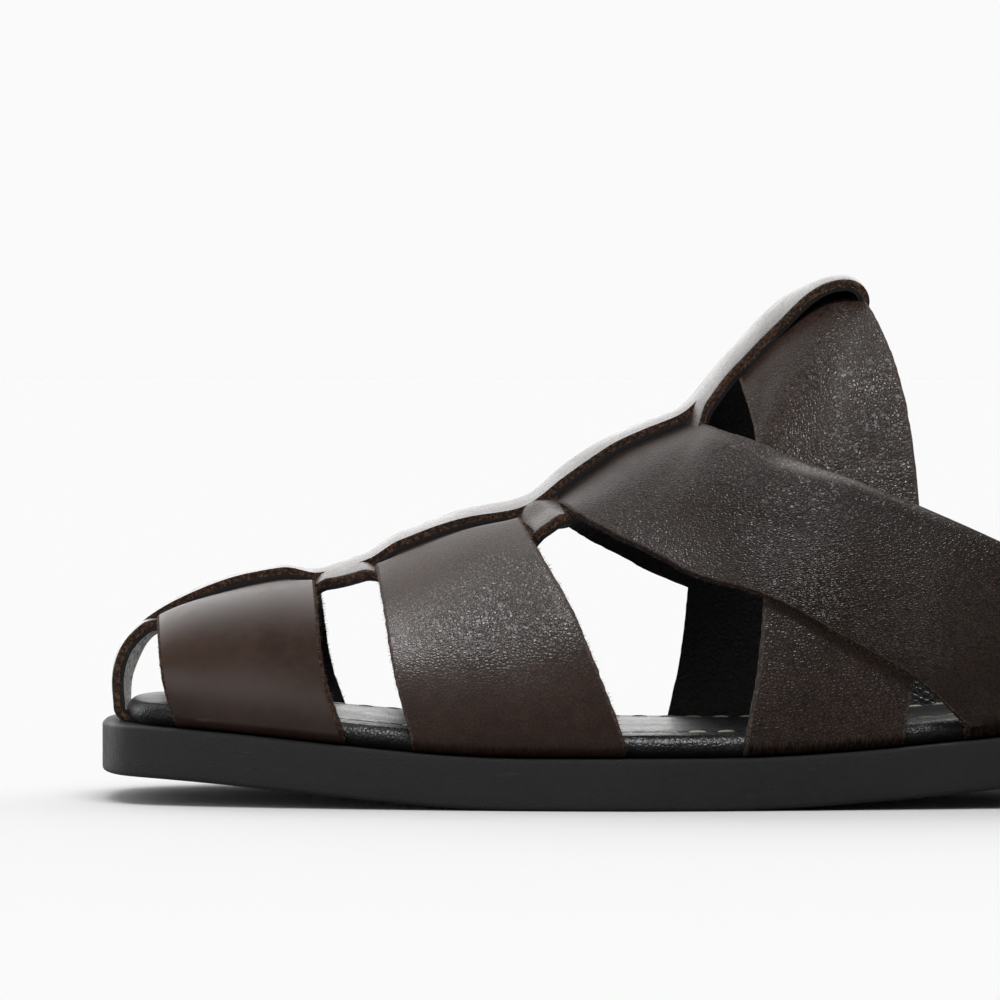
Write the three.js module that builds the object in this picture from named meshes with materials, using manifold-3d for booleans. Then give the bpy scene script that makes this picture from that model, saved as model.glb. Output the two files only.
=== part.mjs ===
// A backless clog of woven leather straps: slab sole, heel lift, rolled insole and a strap upper.
// Millimetres, +Z up. The toe points along -X, the lateral side of this left shoe faces -Y.
// The origin is on the floor, under the middle of the sole's outline.

import * as THREE from 'three';
import Module from 'manifold-3d';

const wasm = await Module();
wasm.setup();

// Driving sizes
const LENGTH = 290;
const BALL_WIDTH = 103;
const INSTEP = 100;
const HEEL_RISE = 8.6;
const TOE_SPRING = 5.6;

// Thicknesses and fits
const SOLE_THICK = 10;
const SOLE_ROUND = 1.0;
const SOLE_CHAMFER = 1;
const INSOLE_THICK = 4.5;
const INSOLE_DISH = { depth: 0.5, rim: 9 };
const STRAP_THICK = 2.2;
const SPINE_THICK = 2.3;
const GAP = 0.3;
const FEATHER_INSET = 4.5;
const TUCK_RADIUS = 0.5;
const TUCK_RUN = 9;
const JOIN = 0.45;
const DEEP_JOIN = 1.1;
const POCKET_SPARE = 0.1;
const POCKET_DEPTH = 1;

// Places along the sole, from the toe tip
const FOREFOOT_FLAT = { from: 85, to: 118 };
const HEEL_FLAT_FROM = 245;
const HEEL_LIFT = { from: 214, to: 288, inset: 1.6, round: 1.5 };

// Weave: half of the distance between the spine's slits, and how far leather takes to rise or dive
const SLIT = 9.5;
const SLIT_STEP = 0.2;
const MARGIN_RAMP = 2.6;
const CROSS_RAMP = { reach: 8, clear: 0.4 };
const INSTEP_RAMP = { before: 12, after: 1 };

// A strap is pressed down below the spine's middle, and is level again a little way outside the slits
const PRESSED = { full: SLIT + 0.5, none: SLIT + 6 };

// Sole outline: station in percent of the length, half widths in percent of the ball width
const OUTLINE = [
  { station: 0.28, lateral: 11.7, medial: 18.4 },
  { station: 1.72, lateral: 24.8, medial: 31.7 },
  { station: 4.83, lateral: 32.0, medial: 39.8 },
  { station: 10.3, lateral: 37.9, medial: 45.6 },
  { station: 19.0, lateral: 44.2, medial: 48.9 },
  { station: 27.6, lateral: 48.5, medial: 49.5 },
  { station: 36.2, lateral: 50.5, medial: 45.6 },
  { station: 46.6, lateral: 48.1, medial: 38.8 },
  { station: 56.9, lateral: 43.7, medial: 34.5 },
  { station: 69.0, lateral: 39.3, medial: 33.5 },
  { station: 81.0, lateral: 36.9, medial: 34.5 },
  { station: 90.3, lateral: 33.0, medial: 30.6 },
  { station: 96.9, lateral: 23.3, medial: 19.9 },
];
const TOE_TIP = { station: 0, medial: 3.9 };
const HEEL_TIP = { station: 100, medial: -1.9 };

// Sections of the last, from the feather line at the toe to behind the instep. Ridge and base stations are in
// percent of the length, height in percent of the instep, aside is the ridge's shift to the medial side in
// millimetres. Shoulder and wall are the lengths of the section's two handles, bulge swells the wall and tilt
// turns the crown.
const LAST = [
  { ridge: 1.57, height: 18.4, aside: 3.0, base: 3.0, shoulder: 0.85, wall: 0.50, bulge: 0.0, tilt: 0.00 },
  { ridge: 1.45, height: 24.6, aside: 3.0, base: 3.9, shoulder: 0.85, wall: 0.50, bulge: 0.5, tilt: 0.00 },
  { ridge: 1.93, height: 29.6, aside: 3.0, base: 4.8, shoulder: 0.84, wall: 0.52, bulge: 1.5, tilt: -0.02 },
  { ridge: 3.10, height: 33.4, aside: 3.0, base: 5.7, shoulder: 0.80, wall: 0.55, bulge: 2.5, tilt: -0.03 },
  { ridge: 5.00, height: 37.0, aside: 3.0, base: 6.9, shoulder: 0.74, wall: 0.55, bulge: 3.0, tilt: -0.03 },
  { ridge: 7.93, height: 39.9, aside: 3.0, base: 9.0, shoulder: 0.68, wall: 0.55, bulge: 3.0, tilt: -0.03 },
  { ridge: 12.1, height: 42.4, aside: 3.2, base: 12.6, shoulder: 0.66, wall: 0.55, bulge: 3.0, tilt: -0.03 },
  { ridge: 16.2, height: 44.4, aside: 3.4, base: 16.2, shoulder: 0.57, wall: 0.55, bulge: 3.0, tilt: 0.04 },
  { ridge: 20.7, height: 49.3, aside: 3.6, base: 20.7, shoulder: 0.53, wall: 0.55, bulge: 3.0, tilt: 0.07 },
  { ridge: 25.2, height: 54.6, aside: 3.8, base: 25.2, shoulder: 0.52, wall: 0.55, bulge: 3.0, tilt: 0.08 },
  { ridge: 29.3, height: 57.9, aside: 4.0, base: 29.3, shoulder: 0.53, wall: 0.54, bulge: 3.0, tilt: 0.11 },
  { ridge: 32.1, height: 63.4, aside: 4.0, base: 32.1, shoulder: 0.53, wall: 0.53, bulge: 3.0, tilt: 0.10 },
  { ridge: 34.7, height: 67.6, aside: 4.0, base: 34.7, shoulder: 0.53, wall: 0.52, bulge: 3.0, tilt: 0.08 },
  { ridge: 37.6, height: 72.2, aside: 4.0, base: 37.6, shoulder: 0.54, wall: 0.52, bulge: 3.0, tilt: 0.06 },
  { ridge: 41.4, height: 78.0, aside: 4.0, base: 41.4, shoulder: 0.56, wall: 0.52, bulge: 3.0, tilt: 0.00 },
  { ridge: 44.5, height: 86.8, aside: 4.0, base: 44.5, shoulder: 0.58, wall: 0.52, bulge: 3.0, tilt: 0.02 },
  { ridge: 47.2, height: 95.0, aside: 4.0, base: 47.2, shoulder: 0.62, wall: 0.52, bulge: 3.0, tilt: 0.05 },
  { ridge: 50.0, height: 98.4, aside: 4.0, base: 50.0, shoulder: 0.66, wall: 0.52, bulge: 3.0, tilt: -0.12 },
  { ridge: 52.8, height: 98.4, aside: 4.0, base: 52.8, shoulder: 0.66, wall: 0.52, bulge: 3.0, tilt: -0.22 },
  { ridge: 60.3, height: 102, aside: 3.0, base: 60.3, shoulder: 0.66, wall: 0.52, bulge: 3.0, tilt: -0.20 },
  { ridge: 70.7, height: 108, aside: 2.0, base: 70.7, shoulder: 0.66, wall: 0.52, bulge: 3.0, tilt: -0.16 },
  { ridge: 81.0, height: 110, aside: 1.0, base: 81.0, shoulder: 0.66, wall: 0.52, bulge: 3.0, tilt: -0.16 },
];

// Above the feather line the toe's medial half sweeps back by this much, over these sections
const TOE_SWEEP = { reach: 3.2, grows: [0, 2], fades: [1, 6] };

// Straps: girth runs from 0 at the ridge to 1 at the feather line, front and rear edges are from the toe tip.
// Lead moves the medial end towards the toe. Under the spine, dip is the least that the strap is pressed
// down, rise and fall are the lengths over which the spine climbs on to the strap and comes down behind it.
const STRAPS = {
  toe: {
    lead: 1, rows: 6, weave: { dip: 0.6, rise: 18, fall: 6 },
    edges: [
      { girth: 0.00, front: 11.7, rear: 42.0 },
      { girth: 0.55, front: 13.1, rear: 44.0 },
      { girth: 0.80, front: 14.3, rear: 45.7 },
      { girth: 1.00, front: 16.1, rear: 49.0 },
    ],
  },
  vamp: {
    lead: 1, rows: 7, weave: { dip: 0.9, rise: 6, fall: 20 },
    edges: [
      { girth: 0.00, front: 54.0, rear: 82.4 },
      { girth: 0.20, front: 55.2, rear: 84.1 },
      { girth: 0.47, front: 56.7, rear: 89.0 },
      { girth: 0.78, front: 59.0, rear: 97.1 },
      { girth: 1.00, front: 62.4, rear: 103.8 },
    ],
  },
  slant: {
    lead: 7, rows: 13, weave: { dip: 0.8, rise: 15, fall: 15 },
    edges: [
      { girth: 0.00, front: 86.5, rear: 115.5 },
      { girth: 0.14, front: 90.2, rear: 118.6 },
      { girth: 0.33, front: 94.7, rear: 124.6 },
      { girth: 0.47, front: 101.8, rear: 131.7 },
      { girth: 0.54, front: 106.9, rear: 138.8 },
      { girth: 0.60, front: 111.8, rear: 147.9 },
      { girth: 0.66, front: 117.4, rear: 159.9 },
      { girth: 0.75, front: 130.0, rear: 180.0 },
      { girth: 0.84, front: 143.2, rear: 197.5 },
      { girth: 0.92, front: 159.3, rear: 209.0 },
      { girth: 1.00, front: 170.0, rear: 216.0 },
    ],
  },
  instep: {
    lead: 13.2, rows: 11,
    edges: [
      { girth: 0.00, front: 126.8, rear: 149.8 },
      { girth: 0.20, front: 128.1, rear: 152.7 },
      { girth: 0.45, front: 130.4, rear: 158.3 },
      { girth: 0.65, front: 131.0, rear: 160.8 },
      { girth: 0.85, front: 129.7, rear: 160.8 },
      { girth: 1.00, front: 126.7, rear: 157.9 },
    ],
  },
};
const WOVEN = Object.values(STRAPS).filter((strap) => strap.weave);

// Spine: half width along the shoe, the leather folded under the instep strap, and its margins' lift there
const SPINE_WIDTH = [
  { at: 0, half: 13.0 },
  { at: 25, half: 14.5 },
  { at: 48, half: 16.2 },
  { at: 70, half: 19.0 },
  { at: 88, half: 22.5 },
  { at: 100, half: 20.5 },
  { at: 118, half: 17.0 },
  { at: 130, half: 15.5 },
  { at: 155, half: 15.0 },
];
const FOLD_UNDER = 14;
const FOLD_BITE = 0.1;
const FOLD_RADIUS = STRAP_THICK / 2 - JOIN;
const MARGIN_LIFT = { height: 1.0, across: 15, from: 8 };

// Mesh fineness
const OUTLINE_STEPS = 3;
const FINE_STEPS = 20;
const STRAP_COLUMNS = 6;
const SPINE_ROWS_PER_SECTION = 4;
const TUCK_TURNS = 3;
const FOLD_TURNS = 8;
const FOLD_ROWS = 4;
const UPPER_EDGE_TURNS = [0, 30, 60, 90];
const ROLL_TURNS = [-90, -45, 0, 45, 90];
const HALVINGS = 30;
const NORMAL_STEP = 0.01;

const UP = new THREE.Vector3(0, 0, 1);
const smooth = THREE.MathUtils.smoothstep;
const lerp = THREE.MathUtils.lerp;

// A table read at a row number that need not be whole, on a smooth curve through every row
function readRow(table, position) {
  const last = table.length - 1;
  const place = THREE.MathUtils.clamp(position, 0, last);
  const index = Math.min(Math.floor(place), last - 1);
  const w = place - index;
  const row = {};
  for (const key of Object.keys(table[0])) {
    const b = table[index][key];
    const c = table[index + 1][key];
    const a = index > 0 ? table[index - 1][key] : 2 * b - c;
    const d = index + 2 <= last ? table[index + 2][key] : 2 * c - b;
    const bend = 2 * a - 5 * b + 4 * c - d;
    row[key] = b + 0.5 * w * (c - a + w * (bend + w * (3 * (b - c) + d - a)));
  }
  return row;
}

// The place between low and high where a rising reading meets its target, by halving
function search(reading, target, low, high) {
  let [from, to] = [low, high];
  for (let step = 0; step < HALVINGS; step += 1) {
    const middle = (from + to) / 2;
    if (reading(middle) < target) from = middle;
    else to = middle;
  }
  return (from + to) / 2;
}

// A table read at a value of one column, on the same smooth curve
function readAt(table, key, value) {
  return readRow(table, search((place) => readRow(table, place)[key], value, 0, table.length - 1));
}

// Heights of the sole along its length
function soleBottom(at) {
  const spring = TOE_SPRING * (1 - smooth(at, 0, FOREFOOT_FLAT.from));
  const arch = HEEL_RISE * smooth(at, FOREFOOT_FLAT.to, HEEL_FLAT_FROM);
  return spring + arch;
}

function soleTop(at) {
  return soleBottom(at) + SOLE_THICK;
}

// Sole outline as one closed curve, lateral side first, then back along the medial side
function outlineCurve() {
  const point = (row, width) => (
    new THREE.Vector3((row.station * LENGTH) / 100, (width * BALL_WIDTH) / 100, 0)
  );
  const lateral = OUTLINE.map((row) => point(row, -row.lateral));
  const medial = OUTLINE.map((row) => point(row, row.medial)).reverse();
  const toe = point(TOE_TIP, TOE_TIP.medial);
  const heel = point(HEEL_TIP, HEEL_TIP.medial);
  return new THREE.CatmullRomCurve3([toe, ...lateral, heel, ...medial], true, 'centripetal');
}

const CURVE = outlineCurve();
const HALF_TURN = OUTLINE.length + 1;
const SHIFT_Y = outlineMiddle();

function outlineMiddle() {
  const box = new THREE.Box3().setFromPoints(CURVE.getPoints(2 * HALF_TURN * FINE_STEPS));
  return (box.min.y + box.max.y) / 2;
}

// The outline moved inwards, as places {at, y}, with the same count of points on either side of toe and heel
function insetOutline(inset, steps) {
  const count = 2 * HALF_TURN * steps;
  const ring = [];
  for (let k = 0; k < count; k += 1) {
    const point = CURVE.getPoint(k / count);
    const along = CURVE.getTangent(k / count);
    ring.push({ at: point.x - along.y * inset, y: point.y + along.x * inset - SHIFT_Y });
  }
  return ring;
}

// A closed solid from indexed corners, with its faces turned outwards
function solidFrom(corners, triangles) {
  let volume = 0;
  for (let k = 0; k < triangles.length; k += 3) {
    const [a, b, c] = [corners[triangles[k]], corners[triangles[k + 1]], corners[triangles[k + 2]]];
    volume += a.dot(new THREE.Vector3().crossVectors(b, c));
  }
  const order = volume < 0 ? [...triangles].reverse() : triangles;
  return new wasm.Manifold(new wasm.Mesh({
    numProp: 3,
    vertProperties: new Float32Array(corners.flatMap((p) => [p.x, p.y, p.z])),
    triVerts: new Uint32Array(order),
  }));
}

// The side walls between rings of equal count, one above the other
function wallsBetween(rings) {
  const count = rings[0].length;
  const triangles = [];
  for (let level = 0; level + 1 < rings.length; level += 1) {
    for (let k = 0; k < count; k += 1) {
      const a = level * count + k;
      const b = level * count + ((k + 1) % count);
      triangles.push(a, b, b + count, a, b + count, a + count);
    }
  }
  return triangles;
}

// A slab from rings whose halves mirror each other in count, closed by strips from side to side
function slabFrom(rings) {
  const count = rings[0].length;
  const triangles = wallsBetween(rings);
  const cap = (start, flip) => {
    for (let k = 0; k < count / 2; k += 1) {
      const [a, b] = [start + k, start + k + 1];
      const c = start + ((count - k - 1) % count);
      const d = start + ((count - k) % count);
      const faces = [];
      if (b !== c) faces.push(a, b, c);
      if (a !== d) faces.push(a, c, d);
      triangles.push(...(flip ? faces.reverse() : faces));
    }
  };
  cap(0, true);
  cap((rings.length - 1) * count, false);
  return solidFrom(rings.flat(), triangles);
}

// A slab from rings of any outline, closed by fans around a point in the middle
function fanSolid(rings) {
  const count = rings[0].length;
  const corners = rings.flat();
  const triangles = wallsBetween(rings);
  const cap = (level, flip) => {
    const sum = rings[level].reduce((total, p) => total.add(p), new THREE.Vector3());
    const centre = corners.push(sum.divideScalar(count)) - 1;
    for (let k = 0; k < count; k += 1) {
      const a = level * count + k;
      const b = level * count + ((k + 1) % count);
      triangles.push(...(flip ? [centre, b, a] : [centre, a, b]));
    }
  };
  cap(0, true);
  cap(rings.length - 1, false);
  return solidFrom(corners, triangles);
}

function ringAt(inset, height) {
  const place = (p) => new THREE.Vector3(p.at - LENGTH / 2, p.y, height(p.at));
  return insetOutline(inset, OUTLINE_STEPS).map(place);
}

// Rubber slab: vertical side with a small lower chamfer and a rounded upper edge
function makeOutsole() {
  const rings = [
    ringAt(SOLE_CHAMFER, soleBottom),
    ringAt(0, (at) => soleBottom(at) + SOLE_CHAMFER),
  ];
  for (const turn of UPPER_EDGE_TURNS) {
    const angle = THREE.MathUtils.degToRad(turn);
    const inset = SOLE_ROUND * (1 - Math.cos(angle));
    rings.push(ringAt(inset, (at) => soleTop(at) - SOLE_ROUND * (1 - Math.sin(angle))));
  }
  return slabFrom(rings);
}

// Heel lift: the sole's outline behind a straight breast, from the floor to just under the slab
function makeHeelLift() {
  const side = insetOutline(HEEL_LIFT.inset, OUTLINE_STEPS);
  const behind = side.filter((p) => p.at > HEEL_LIFT.from);
  const lateral = behind.filter((p) => p.y < 0).sort((a, b) => a.at - b.at);
  const medial = behind.filter((p) => p.y >= 0).sort((a, b) => a.at - b.at);
  const breast = [medial, lateral].map((list) => ({ at: HEEL_LIFT.from, y: list[0].y }));
  const ring = [breast[1], ...lateral, ...medial.reverse(), breast[0]];
  const shrink = (p, amount) => {
    const middle = { at: (HEEL_LIFT.from + HEEL_LIFT.to) / 2, y: 0 };
    const reach = Math.hypot(p.at - middle.at, p.y - middle.y);
    const keep = 1 - amount / reach;
    return { at: middle.at + (p.at - middle.at) * keep, y: middle.y + (p.y - middle.y) * keep };
  };
  const level = (inset, height) => ring.map((p) => {
    const q = shrink(p, inset);
    return new THREE.Vector3(q.at - LENGTH / 2, q.y, height(q.at));
  });
  const under = (at) => soleBottom(at) - GAP;
  const rings = [level(HEEL_LIFT.round, () => 0), level(0, () => HEEL_LIFT.round), level(0, under)];
  return fanSolid(rings);
}

// Insole: rolled edge, slightly dished top
function makeInsole() {
  const radius = INSOLE_THICK / 2;
  const edge = FEATHER_INSET + GAP;
  const floor = (at) => soleTop(at) + GAP;
  const rings = [];
  for (const turn of ROLL_TURNS) {
    const angle = THREE.MathUtils.degToRad(turn);
    const inset = edge + radius * (1 - Math.cos(angle));
    rings.push(ringAt(inset, (at) => floor(at) + radius * (1 + Math.sin(angle))));
  }
  rings.push(ringAt(edge + INSOLE_DISH.rim, (at) => floor(at) + INSOLE_THICK - INSOLE_DISH.depth));
  return slabFrom(rings);
}

// The feather line, where the last meets the insole's edge, as one list per side
function featherLine() {
  const ring = insetOutline(FEATHER_INSET, FINE_STEPS);
  const half = ring.length / 2;
  const medial = [ring[0], ...ring.slice(half).reverse()];
  return { lateral: ring.slice(0, half + 1), medial };
}

const FEATHER = featherLine();

function featherY(side, at) {
  const line = side < 0 ? FEATHER.lateral : FEATHER.medial;
  let low = 0;
  let high = line.length - 1;
  while (high - low > 1) {
    const middle = Math.floor((low + high) / 2);
    if (line[middle].at < at) low = middle;
    else high = middle;
  }
  const share = (at - line[low].at) / (line[high].at - line[low].at);
  return lerp(line[low].y, line[high].y, share);
}

// A point of the last. Girth runs from -1 at the lateral feather line over the ridge to 1 at the medial one.
function lastPoint(section, girth) {
  const side = girth < 0 ? -1 : 1;
  const row = readRow(LAST, section);
  const ridgeAt = (row.ridge * LENGTH) / 100;
  const baseAt = (row.base * LENGTH) / 100;
  const ridge = new THREE.Vector3(ridgeAt - LENGTH / 2, row.aside, (row.height * INSTEP) / 100);
  const rest = soleTop(baseAt) + GAP + STRAP_THICK + TUCK_RADIUS;
  const base = new THREE.Vector3(baseAt - LENGTH / 2, featherY(side, baseAt), rest);
  const reach = base.y - ridge.y;
  const swept = smooth(section, ...TOE_SWEEP.grows) * (1 - smooth(section, ...TOE_SWEEP.fades));
  const sweep = side > 0 ? TOE_SWEEP.reach * swept : 0;
  const shoulder = ridge.clone();
  shoulder.x += sweep;
  shoulder.y += row.shoulder * reach;
  shoulder.z += row.shoulder * reach * row.tilt;
  const wall = base.clone();
  wall.x += row.wall * (ridge.x - base.x) + sweep;
  wall.y += side * row.bulge;
  wall.z += row.wall * (ridge.z - base.z);
  return new THREE.CubicBezierCurve3(ridge, shoulder, wall, base).getPoint(Math.abs(girth));
}

// The section that passes through a place along the shoe, at one girth. The search starts where the toe's
// sections no longer lean back.
const FIRST_UPRIGHT = 2;

function sectionAt(x, girth) {
  return search((section) => lastPoint(section, girth).x, x, FIRST_UPRIGHT, LAST.length - 1);
}

function lastNormal(section, girth) {
  const ahead = lastPoint(Math.min(section + NORMAL_STEP, LAST.length - 1), girth);
  const behind = lastPoint(Math.max(section - NORMAL_STEP, 0), girth);
  const over = lastPoint(section, Math.min(girth + NORMAL_STEP, 1));
  const under = lastPoint(section, Math.max(girth - NORMAL_STEP, -1));
  return ahead.sub(behind).cross(over.sub(under)).normalize();
}

// The turn of a strap end around the insole's lower edge, and its run between insole and outsole
function tuckPoint(base, normal, angle, run) {
  const outward = new THREE.Vector3(normal.x, normal.y, 0).normalize();
  const facing = outward.clone().multiplyScalar(Math.cos(angle)).addScaledVector(UP, -Math.sin(angle));
  const centre = base.clone().addScaledVector(outward, -TUCK_RADIUS - run);
  const point = centre.addScaledVector(facing, TUCK_RADIUS);
  point.z += soleTop(point.x + LENGTH / 2) - soleTop(base.x + LENGTH / 2);
  return { point, normal: facing };
}

// The edges of a strap at a signed girth. On the medial side the front edge leads early, the rear edge later.
function strapEdges(strap, girth) {
  const row = readAt(strap.edges, 'girth', Math.abs(girth));
  const medial = Math.max(girth, 0);
  const frontLead = strap.lead * (1 - (1 - medial) ** 3);
  const rearLead = strap.lead * smooth(medial, 0, 1);
  return { front: row.front - frontLead - LENGTH / 2, rear: row.rear - rearLead - LENGTH / 2 };
}

// 0 outside a strap, 1 inside it, rising from a reach before each edge to a clear distance from it
function insideStrap(strap, x, girth, reach, clear) {
  const { front, rear } = strapEdges(strap, girth);
  return smooth(x, front - reach, front - clear) * (1 - smooth(x, rear + clear, rear + reach));
}

// How high the spine's middle stands over a strap: not at all at the strap's edges, most between them
function weaveHeight(strap, x, girth) {
  const { front, rear } = strapEdges(strap, girth);
  const { dip, rise, fall } = strap.weave;
  const climb = smooth(x, front, front + rise) * (1 - smooth(x, rear - fall, rear));
  return climb * (STRAP_THICK - JOIN - dip);
}

// The place of a strap's inner face: the spine presses it down, and it rises over the strap that it crosses
function strapFace(name, girth, share) {
  const strap = STRAPS[name];
  const { front, rear } = strapEdges(strap, girth);
  const x = lerp(front, rear, share);
  const section = sectionAt(x, girth);
  const point = lastPoint(section, girth);
  let offset = 0;
  if (strap.weave) {
    const fromRidge = Math.abs(point.y - readRow(LAST, section).aside);
    const depth = STRAP_THICK - JOIN - weaveHeight(strap, x, girth);
    offset -= depth * (1 - smooth(fromRidge, PRESSED.full, PRESSED.none));
  }
  if (name === 'slant') {
    const crossing = insideStrap(STRAPS.instep, x, girth, CROSS_RAMP.reach, CROSS_RAMP.clear);
    offset += (STRAP_THICK - JOIN) * crossing;
  }
  return { point, normal: lastNormal(section, girth), offset };
}

// Girths of a strap's rows on one side: close together where the spine presses, even from there to the sole
function strapGirths(strap) {
  const { front, rear } = strapEdges(strap, 0);
  const section = sectionAt((front + rear) / 2, 0);
  const full = girthAcross(section, PRESSED.full);
  const none = girthAcross(section, PRESSED.none);
  const girths = [full / 2, full, (full + none) / 2, none];
  for (let k = 1; k <= strap.rows; k += 1) girths.push(lerp(none, 1, k / strap.rows));
  return girths;
}

// Stops of a tucked end: the turn around the insole's lower edge, then the run below the insole
function tuckStops(run) {
  const stops = [];
  for (let k = 1; k <= TUCK_TURNS; k += 1) stops.push({ angle: (k / TUCK_TURNS) * (Math.PI / 2), run: 0 });
  stops.push({ angle: Math.PI / 2, run });
  return stops;
}

// Rows of a strap: the tucked end, the turn, up one side, over the ridge and down to the other end
function strapStops(strap) {
  const girths = strapGirths(strap);
  const side = (sign) => [
    ...girths.map((girth) => ({ girth: sign * girth, angle: 0, run: 0 })),
    ...tuckStops(TUCK_RUN).map((stop) => ({ girth: sign, ...stop })),
  ];
  return [...side(-1).reverse(), { girth: 0, angle: 0, run: 0 }, ...side(1)];
}

// A closed band from a grid of inner and outer corners
function bandFrom(grid) {
  const rows = grid.length;
  const columns = grid[0].length;
  const corners = [...grid.flat().map((cell) => cell.inner), ...grid.flat().map((cell) => cell.outer)];
  const inner = (i, j) => i * columns + j;
  const outer = (i, j) => rows * columns + i * columns + j;
  const triangles = [];
  const quad = (a, b, c, d) => triangles.push(a, b, c, a, c, d);
  for (let i = 0; i + 1 < rows; i += 1) {
    for (let j = 0; j + 1 < columns; j += 1) {
      quad(outer(i, j), outer(i, j + 1), outer(i + 1, j + 1), outer(i + 1, j));
      quad(inner(i, j), inner(i + 1, j), inner(i + 1, j + 1), inner(i, j + 1));
    }
    quad(outer(i, 0), outer(i + 1, 0), inner(i + 1, 0), inner(i, 0));
    quad(inner(i, columns - 1), inner(i + 1, columns - 1), outer(i + 1, columns - 1), outer(i, columns - 1));
  }
  for (let j = 0; j + 1 < columns; j += 1) {
    quad(inner(0, j), inner(0, j + 1), outer(0, j + 1), outer(0, j));
    quad(outer(rows - 1, j), outer(rows - 1, j + 1), inner(rows - 1, j + 1), inner(rows - 1, j));
  }
  return solidFrom(corners, triangles);
}

function cellAt(point, normal, from, to) {
  return {
    inner: point.clone().addScaledVector(normal, from),
    outer: point.clone().addScaledVector(normal, to),
  };
}

function strapCell(name, stop, share, from, to) {
  const face = strapFace(name, stop.girth, share);
  if (stop.angle === 0) return cellAt(face.point, face.normal, face.offset + from, face.offset + to);
  const tuck = tuckPoint(face.point, face.normal, stop.angle, stop.run);
  return cellAt(tuck.point, tuck.normal, from, to);
}

function makeStrap(name) {
  const grid = strapStops(STRAPS[name]).map((stop) => {
    const row = [];
    for (let j = 0; j <= STRAP_COLUMNS; j += 1) {
      row.push(strapCell(name, stop, j / STRAP_COLUMNS, 0, STRAP_THICK));
    }
    return row;
  });
  return bandFrom(grid);
}

// The girth at a distance across from the ridge of one section
const WIDEST_GIRTH = 0.7;

function girthAcross(section, across) {
  const ridge = readRow(LAST, section).aside;
  const side = across < 0 ? -1 : 1;
  const distance = (girth) => Math.abs(lastPoint(section, side * girth).y - ridge);
  return side * search(distance, Math.abs(across), 0, WIDEST_GIRTH);
}

// How far the spine's inner face lies off the last: over the straps in its middle, under them at its margins,
// over the instep strap with all its width, and with its margins lifted where it folds
function spineOffset(x, girth, across) {
  let offset = 0;
  for (const strap of WOVEN) {
    if (Math.abs(across) < SLIT) offset += weaveHeight(strap, x, girth);
    else offset -= (SPINE_THICK - DEEP_JOIN) * insideStrap(strap, x, girth, MARGIN_RAMP, -MARGIN_RAMP);
  }
  const { front } = strapEdges(STRAPS.instep, girth);
  offset += (STRAP_THICK - DEEP_JOIN) * smooth(x, front - INSTEP_RAMP.before, front + INSTEP_RAMP.after);
  const ridge = strapEdges(STRAPS.instep, 0);
  const towardsFold = smooth(x, ridge.front + MARGIN_LIFT.from, ridge.rear - FOLD_RADIUS);
  return offset + MARGIN_LIFT.height * (across / MARGIN_LIFT.across) ** 2 * towardsFold;
}

// Columns of the spine: its edges, the two sides of each slit and its raised middle
function spineColumns(half) {
  const outside = SLIT + SLIT_STEP;
  const side = [half, outside, SLIT - SLIT_STEP, SLIT / 2];
  return [...side.map((across) => -across), 0, ...side.reverse()];
}

function spineFace(section, column) {
  const at = (readRow(LAST, section).ridge * LENGTH) / 100;
  const across = spineColumns(readAt(SPINE_WIDTH, 'at', at).half)[column];
  const girth = girthAcross(section, across);
  const point = lastPoint(section, girth);
  return { point, normal: lastNormal(section, girth), offset: spineOffset(point.x, girth, across) };
}

// Where the spine turns down behind the instep strap
function foldSection(run) {
  const { rear } = strapEdges(STRAPS.instep, 0);
  return sectionAt(rear - FOLD_BITE - FOLD_RADIUS - run, 0);
}

function spineRows() {
  const end = foldSection(0);
  const count = SPINE_ROWS_PER_SECTION * Math.round(end);
  const rows = tuckStops(TUCK_RUN).reverse().map((stop) => (column) => spineTuck(column, stop));
  for (let k = 0; k <= count; k += 1) {
    rows.push((column) => {
      const face = spineFace((k / count) * end, column);
      return cellAt(face.point, face.normal, face.offset, face.offset + SPINE_THICK);
    });
  }
  for (let k = 1; k <= FOLD_TURNS; k += 1) {
    rows.push((column) => spineFold(end, column, (k / FOLD_TURNS) * Math.PI));
  }
  for (let k = 1; k <= FOLD_ROWS; k += 1) {
    const section = foldSection((k / FOLD_ROWS) * FOLD_UNDER);
    rows.push((column) => spineLeaf(section, column));
  }
  return rows;
}

// The spine thins to a strap's thickness where it tucks in
function spineTuck(column, stop) {
  const face = spineFace(0, column);
  const tuck = tuckPoint(face.point, face.normal, stop.angle, stop.run);
  return cellAt(tuck.point, tuck.normal, 0, lerp(SPINE_THICK, STRAP_THICK, Math.sin(stop.angle)));
}

// The fold turns around the rear edge of the instep strap, in a wider bow at the lifted margins
function spineFold(end, column, angle) {
  const face = spineFace(end, column);
  const before = spineFace(end - NORMAL_STEP, column);
  const along = face.point.clone().sub(before.point).normalize();
  const radius = (face.offset - JOIN) / 2;
  const centre = face.point.clone().addScaledVector(face.normal, JOIN + radius);
  const facing = along.multiplyScalar(Math.sin(angle)).addScaledVector(face.normal, Math.cos(angle));
  return cellAt(centre.addScaledVector(facing, radius), facing, 0, SPINE_THICK);
}

// The folded end lies forward against the instep strap's inner face
function spineLeaf(section, column) {
  const face = spineFace(section, column);
  return cellAt(face.point, face.normal, JOIN, JOIN - SPINE_THICK);
}

function makeSpine() {
  const columns = spineColumns(1).map((_, index) => index);
  return bandFrom(spineRows().map((row) => columns.map((column) => row(column))));
}

// Room for the tucked ends below the insole, with the fit's gap all round. It starts just past upright.
const POCKET_START = { angle: 0.001, run: 0 };
const POCKET_STOPS = [POCKET_START, ...tuckStops(TUCK_RUN + GAP)];

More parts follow.
